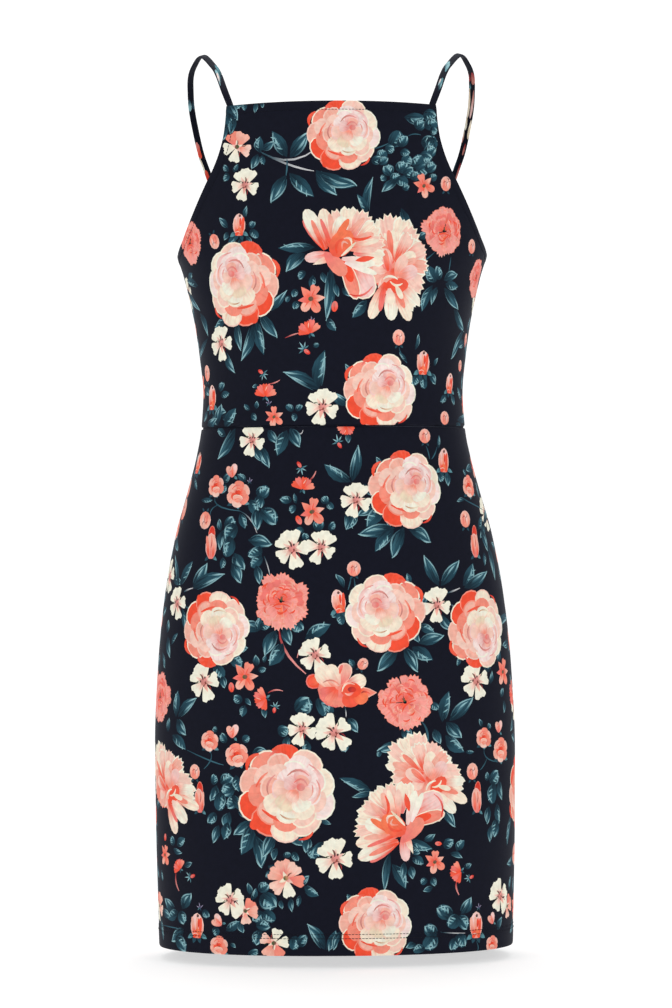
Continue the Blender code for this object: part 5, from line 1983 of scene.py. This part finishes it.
def stitch_rows(panel):
    """Return the lines of places along which a panel's hems are stitched."""
    shares = np.linspace(-1, 1, ROW_POINTS)
    if panel.name.endswith("skirt"):
        half = float(panel.form.half_length(HEM_LEVEL)) - ROW_END
        return [np.stack([shares * half, np.full(ROW_POINTS, HEM_LEVEL + rise)], 1)
                for rise in (HEM_DEPTH, HEM_DEPTH - TWIN_ROW)]
    if panel.name.startswith("back"):
        half = float(panel.form.half_length(UNDERARM_LEVEL)) - ROW_END
        return [np.stack([shares * half, back_level(shares) - BACK_HEM_DEPTH], 1)]
    reach = float(armhole_line()[-1, 0])
    rows = [np.stack([shares * reach, neck_level(shares) - NECK_HEM_DEPTH], 1)]
    moved = inset_outline(dense_outline(panel.outline), ARMHOLE_HEM_DEPTH)
    moved = moved[np.abs(from_armholes()(moved) - ARMHOLE_HEM_DEPTH) < LINE_REACH]
    for side in (-1, 1):
        row = moved[moved[:, 0] * side > 0]
        rows.append(row[np.argsort(row[:, 1])])
    return rows


def add_stitches(panel, material):
    """Lay the hems' stitches on a panel, each a short rounded thread that dips in at its ends."""
    points = []
    faces = []
    sides = THREAD_SIDES
    turns = np.arange(sides) * math.tau / sides
    for row in stitch_rows(panel):
        run = run_lengths(row)
        for centre in np.arange(STITCH_STEP, run[-1] - STITCH_STEP, STITCH_STEP):
            ends = np.array([(np.interp(centre + side * STITCH_LENGTH / 2, run, row[:, 0]),
                              np.interp(centre + side * STITCH_LENGTH / 2, run, row[:, 1]))
                             for side in (-1, 1)])
            here, out = panel.surface(ends)
            middle = here.mean(0)
            along = (here[1] - here[0]) / 2
            up = out[0] / np.linalg.norm(out[0])
            aside = np.cross(along, up)
            aside /= np.linalg.norm(aside)
            first = len(points)
            for place, width, rise in THREAD_RINGS:
                radius = STITCH_THICKNESS / 2 * width
                ring = middle + along * place + up * rise * STITCH_THICKNESS
                for turn in turns:
                    points.append(ring + radius * (math.cos(turn) * aside + math.sin(turn) * up))
            for step in range(len(THREAD_RINGS) - 1):
                for corner in range(sides):
                    a = first + step * sides + corner
                    b = first + step * sides + (corner + 1) % sides
                    faces.append((a, b, b + sides, a + sides))
            faces.append(tuple(range(first + sides - 1, first - 1, -1)))
            last = first + sides * (len(THREAD_RINGS) - 1)
            faces.append(tuple(range(last, last + sides)))
    mesh = bpy.data.meshes.new(panel.name + "_stitches")
    mesh.from_pydata([tuple(point) for point in points], [], faces)
    mesh.polygons.foreach_set("use_smooth", [True] * len(faces))
    mesh.materials.append(material)
    return put_in_scene(mesh, panel.name)


def node(tree, kind, place, **values):
    """Add a shader node and set its plain properties and its inputs."""
    made = tree.nodes.new(kind)
    made.location = place
    for key, value in values.items():
        if hasattr(made, key):
            setattr(made, key, value)
        else:
            made.inputs[key.replace("_", " ")].default_value = value
    return made


def printed_material():
    """Return the printed stretch cloth: watercolour patches on a near-black navy ground."""
    material = bpy.data.materials.new("printed_cloth")
    material.use_nodes = True
    tree = material.node_tree
    shader = tree.nodes["Principled BSDF"]
    link = tree.links.new
    low = node(tree, "ShaderNodeAttribute", (-1400, 300), attribute_name="low")
    high = node(tree, "ShaderNodeAttribute", (-1400, 100), attribute_name="high")
    stroke = node(tree, "ShaderNodeAttribute", (-1400, -100), attribute_name="stroke")
    split = node(tree, "ShaderNodeSeparateXYZ", (-1200, -100))
    link(stroke.outputs["Vector"], split.inputs[0])

    # Streaks run along each petal, so the noise is stretched that way
    stretch = node(tree, "ShaderNodeCombineXYZ", (-1000, -200))
    along = node(tree, "ShaderNodeMath", (-1200, -300), operation="MULTIPLY")
    along.inputs[1].default_value = 1.3
    across = node(tree, "ShaderNodeMath", (-1200, -460), operation="MULTIPLY")
    across.inputs[1].default_value = 5.0
    link(split.outputs["X"], along.inputs[0])
    link(split.outputs["Y"], across.inputs[0])
    link(along.outputs[0], stretch.inputs["X"])
    link(across.outputs[0], stretch.inputs["Y"])
    link(split.outputs["Z"], stretch.inputs["Z"])
    streaks = node(tree, "ShaderNodeTexNoise", (-800, -200), Scale=1.0, Detail=2.0)
    link(stretch.outputs[0], streaks.inputs["Vector"])

    # Wash: a broad mottle like watercolour
    coordinates = node(tree, "ShaderNodeTexCoord", (-1400, -600))
    wash = node(tree, "ShaderNodeTexNoise", (-800, -500), Scale=190.0, Detail=3.0)
    link(coordinates.outputs["Object"], wash.inputs["Vector"])

    # The colour runs from low at a petal's foot to high at its tip, and the streaks shift it
    ramp = node(tree, "ShaderNodeMapRange", (-800, 0), interpolation_type="SMOOTHSTEP",
                From_Min=0.05, From_Max=0.8)
    link(split.outputs["X"], ramp.inputs["Value"])
    swing = node(tree, "ShaderNodeMath", (-600, -200), operation="SUBTRACT")
    link(streaks.outputs["Fac"], swing.inputs[0])
    swing.inputs[1].default_value = 0.5
    strong = node(tree, "ShaderNodeMath", (-450, -200), operation="MULTIPLY")
    link(swing.outputs[0], strong.inputs[0])
    link(stroke.outputs["Alpha"], strong.inputs[1])
    scaled = node(tree, "ShaderNodeMath", (-300, -200), operation="MULTIPLY_ADD")
    link(strong.outputs[0], scaled.inputs[0])
    scaled.inputs[1].default_value = 2.6
    link(ramp.outputs["Result"], scaled.inputs[2])
    scaled.use_clamp = True
    mixed = node(tree, "ShaderNodeMix", (-100, 200), data_type="RGBA")
    link(scaled.outputs[0], mixed.inputs["Factor"])
    link(low.outputs["Color"], mixed.inputs[6])
    link(high.outputs["Color"], mixed.inputs[7])

    washed = node(tree, "ShaderNodeMapRange", (-500, -500),
                  From_Min=0.3, From_Max=0.7, To_Min=0.9, To_Max=1.08)
    link(wash.outputs["Fac"], washed.inputs["Value"])
    tint = node(tree, "ShaderNodeMix", (100, 200), data_type="RGBA", blend_type="MULTIPLY", Factor=1.0)
    link(mixed.outputs[2], tint.inputs[6])
    link(washed.outputs["Result"], tint.inputs[7])
    link(tint.outputs[2], shader.inputs["Base Color"])
    add_knit(tree, shader, coordinates)
    return material


def add_knit(tree, shader, coordinates):
    """Give a cloth shader its soft finish and its fine knitted surface."""
    link = tree.links.new
    shader.inputs["Roughness"].default_value = 0.72
    shader.inputs["Specular IOR Level"].default_value = 0.08
    shader.inputs["Sheen Weight"].default_value = 0.05
    shader.inputs["Sheen Roughness"].default_value = 0.45
    shader.inputs["Sheen Tint"].default_value = (0.75, 0.8, 1.0, 1.0)
    knit = node(tree, "ShaderNodeTexNoise", (-300, -700), Scale=1500.0, Detail=1.0)
    link(coordinates.outputs["Object"], knit.inputs["Vector"])
    bump = node(tree, "ShaderNodeBump", (-100, -700), Strength=0.25, Distance=0.0003)
    link(knit.outputs["Fac"], bump.inputs["Height"])
    link(bump.outputs["Normal"], shader.inputs["Normal"])


# Unprinted cloth and thread: their colours on screen, and how far they are mottled
REVERSE_COLOUR = (92, 96, 112)
THREAD_COLOUR = (17, 18, 28)
MOTTLE_DARK = 0.86
MOTTLE_LIGHT = 1.12


def plain_material(name, colour):
    """Return unprinted cloth or thread of one colour, slightly mottled."""
    material = bpy.data.materials.new(name)
    material.use_nodes = True
    tree = material.node_tree
    shader = tree.nodes["Principled BSDF"]
    coordinates = node(tree, "ShaderNodeTexCoord", (-1000, -300))
    mottle = node(tree, "ShaderNodeTexNoise", (-800, 0), Scale=160.0)
    tree.links.new(coordinates.outputs["Object"], mottle.inputs["Vector"])
    mixed = node(tree, "ShaderNodeMix", (-300, 200), data_type="RGBA")
    tree.links.new(mottle.outputs["Fac"], mixed.inputs["Factor"])
    for socket, share in ((6, MOTTLE_DARK), (7, MOTTLE_LIGHT)):
        mixed.inputs[socket].default_value = [part * share for part in screen(colour)] + [1.0]
    tree.links.new(mixed.outputs[2], shader.inputs["Base Color"])
    add_knit(tree, shader, coordinates)
    return material


def add_camera():
    """Place the camera where the photograph was taken from."""
    camera = bpy.data.cameras.new("camera")
    camera.sensor_width = SENSOR
    camera.lens = SENSOR * CAMERA_DISTANCE / (FRAME_HEIGHT * FRAME_UNIT)
    holder = bpy.data.objects.new("camera", camera)
    holder.rotation_euler = (math.radians(90), CAMERA_ROLL, 0)
    holder.location = (CAMERA_ASIDE, -CAMERA_DISTANCE, CAMERA_LEVEL)
    bpy.context.scene.collection.objects.link(holder)
    bpy.context.scene.camera = holder


# Studio: the floor lies this far under the hem, and sweeps up into the backdrop
FLOOR_LEVEL = HEM_LEVEL - 0.012
FLOOR_FRONT = -3.2
SWEEP_START = 5.6
SWEEP_RADIUS = 1.6
BACKDROP_TOP = 4.0
STAGE_HALF_WIDTH = 5.0

# How many flat strips make the bend, and the floor's grey
SWEEP_STEPS = 16
STAGE_GREY = 0.52

# The floor's own light grows from one depth to another, from the third value to the fourth
STAGE_GLOW = (0.3, 4.0, 0.56, 0.72)


def add_stage():
    """Build the pale floor and backdrop as one sheet with a soft bend."""
    profile = [(FLOOR_FRONT, FLOOR_LEVEL)]
    for step in range(SWEEP_STEPS + 1):
        angle = math.radians(90 * step / SWEEP_STEPS)
        profile.append((SWEEP_START + SWEEP_RADIUS * math.sin(angle),
                        FLOOR_LEVEL + SWEEP_RADIUS * (1 - math.cos(angle))))
    profile.append((profile[-1][0], BACKDROP_TOP))
    points = []
    for y, z in profile:
        points.append((-STAGE_HALF_WIDTH, y, z))
        points.append((STAGE_HALF_WIDTH, y, z))
    faces = [(2 * row, 2 * row + 1, 2 * row + 3, 2 * row + 2) for row in range(len(profile) - 1)]
    mesh = bpy.data.meshes.new("backdrop")
    mesh.from_pydata(points, [], faces)
    mesh.polygons.foreach_set("use_smooth", [True] * len(faces))
    material = bpy.data.materials.new("backdrop")
    material.use_nodes = True
    shader = material.node_tree.nodes["Principled BSDF"]
    shader.inputs["Base Color"].default_value = (STAGE_GREY, STAGE_GREY, STAGE_GREY, 1.0)
    shader.inputs["Roughness"].default_value = 1.0
    shader.inputs["Emission Color"].default_value = (1.0, 1.0, 1.0, 1.0)
    shader.inputs["Specular IOR Level"].default_value = 0.0
    tree = material.node_tree
    place = tree.nodes.new("ShaderNodeTexCoord")
    parts = tree.nodes.new("ShaderNodeSeparateXYZ")
    glow = tree.nodes.new("ShaderNodeMapRange")
    for name, value in zip(("From Min", "From Max", "To Min", "To Max"), STAGE_GLOW):
        glow.inputs[name].default_value = value
    tree.links.new(place.outputs["Object"], parts.inputs["Vector"])
    tree.links.new(parts.outputs["Y"], glow.inputs["Value"])
    tree.links.new(glow.outputs["Result"], shader.inputs["Emission Strength"])
    mesh.materials.append(material)
    backdrop = bpy.data.objects.new("backdrop", mesh)
    bpy.context.scene.collection.objects.link(backdrop)


# Lamps: where each stands, what it points at, its size and its power
Lamp = namedtuple("Lamp", "name x y z to_x to_y to_z width height power")
LAMPS = (
    Lamp("above", 0.0, 0.9, 1.9, 0.0, -0.3, -0.8, 2.4, 2.4, 44.0),
    Lamp("left", -2.2, -2.2, 0.6, 0.0, 0.0, -0.45, 1.6, 2.4, 24.0),
    Lamp("right", 2.2, -2.2, 0.6, 0.0, 0.0, -0.45, 1.6, 2.4, 24.0),
)

# How bright the pale surround is
WORLD_STRENGTH = 0.52


def add_lamps():
    """Light the dress with large soft lamps and a pale surround."""
    for lamp in LAMPS:
        light = bpy.data.lights.new(lamp.name, "AREA")
        light.shape = "RECTANGLE"
        light.size = lamp.width
        light.size_y = lamp.height
        light.energy = lamp.power
        holder = bpy.data.objects.new(lamp.name, light)
        holder.location = (lamp.x, lamp.y, lamp.z)
        aim = Vector((lamp.to_x, lamp.to_y, lamp.to_z)) - Vector(holder.location)
        holder.rotation_euler = aim.to_track_quat("-Z", "Y").to_euler()
        bpy.context.scene.collection.objects.link(holder)
    world = bpy.data.worlds.new("surround")
    world.use_nodes = True
    background = world.node_tree.nodes["Background"]
    background.inputs["Color"].default_value = (1.0, 1.0, 1.0, 1.0)
    background.inputs["Strength"].default_value = WORLD_STRENGTH
    bpy.context.scene.world = world
    bpy.context.scene.view_settings.view_transform = "Standard"


printed = printed_material()
reverse = plain_material("cloth_reverse", REVERSE_COLOUR)
panels = make_panels()
thread = plain_material("thread", THREAD_COLOUR)
front_print = print_patches()
side_print = seam_patches()
right_print = print_patches((REPEAT / 2, -BACK_DROP), 1)
left_print = print_patches((-REPEAT / 2, -BACK_DROP), -1)

# Build each panel's printed cloth and its hem stitches, all riding the dress's body
for panel_name, panel in panels.items():
    level = panel_name.split("_")[1]
    art = side_print[level] + front_print[level]
    if panel_name.startswith("back"):
        art = left_print[level] + right_print[level]
    piece = make_cloth(panel, art, (printed, reverse))
    stitches = add_stitches(panel, thread)
make_strap("strap_left", 1.0, printed)
make_strap("strap_right", -1.0, printed)
add_stage()
add_lamps()
add_camera()
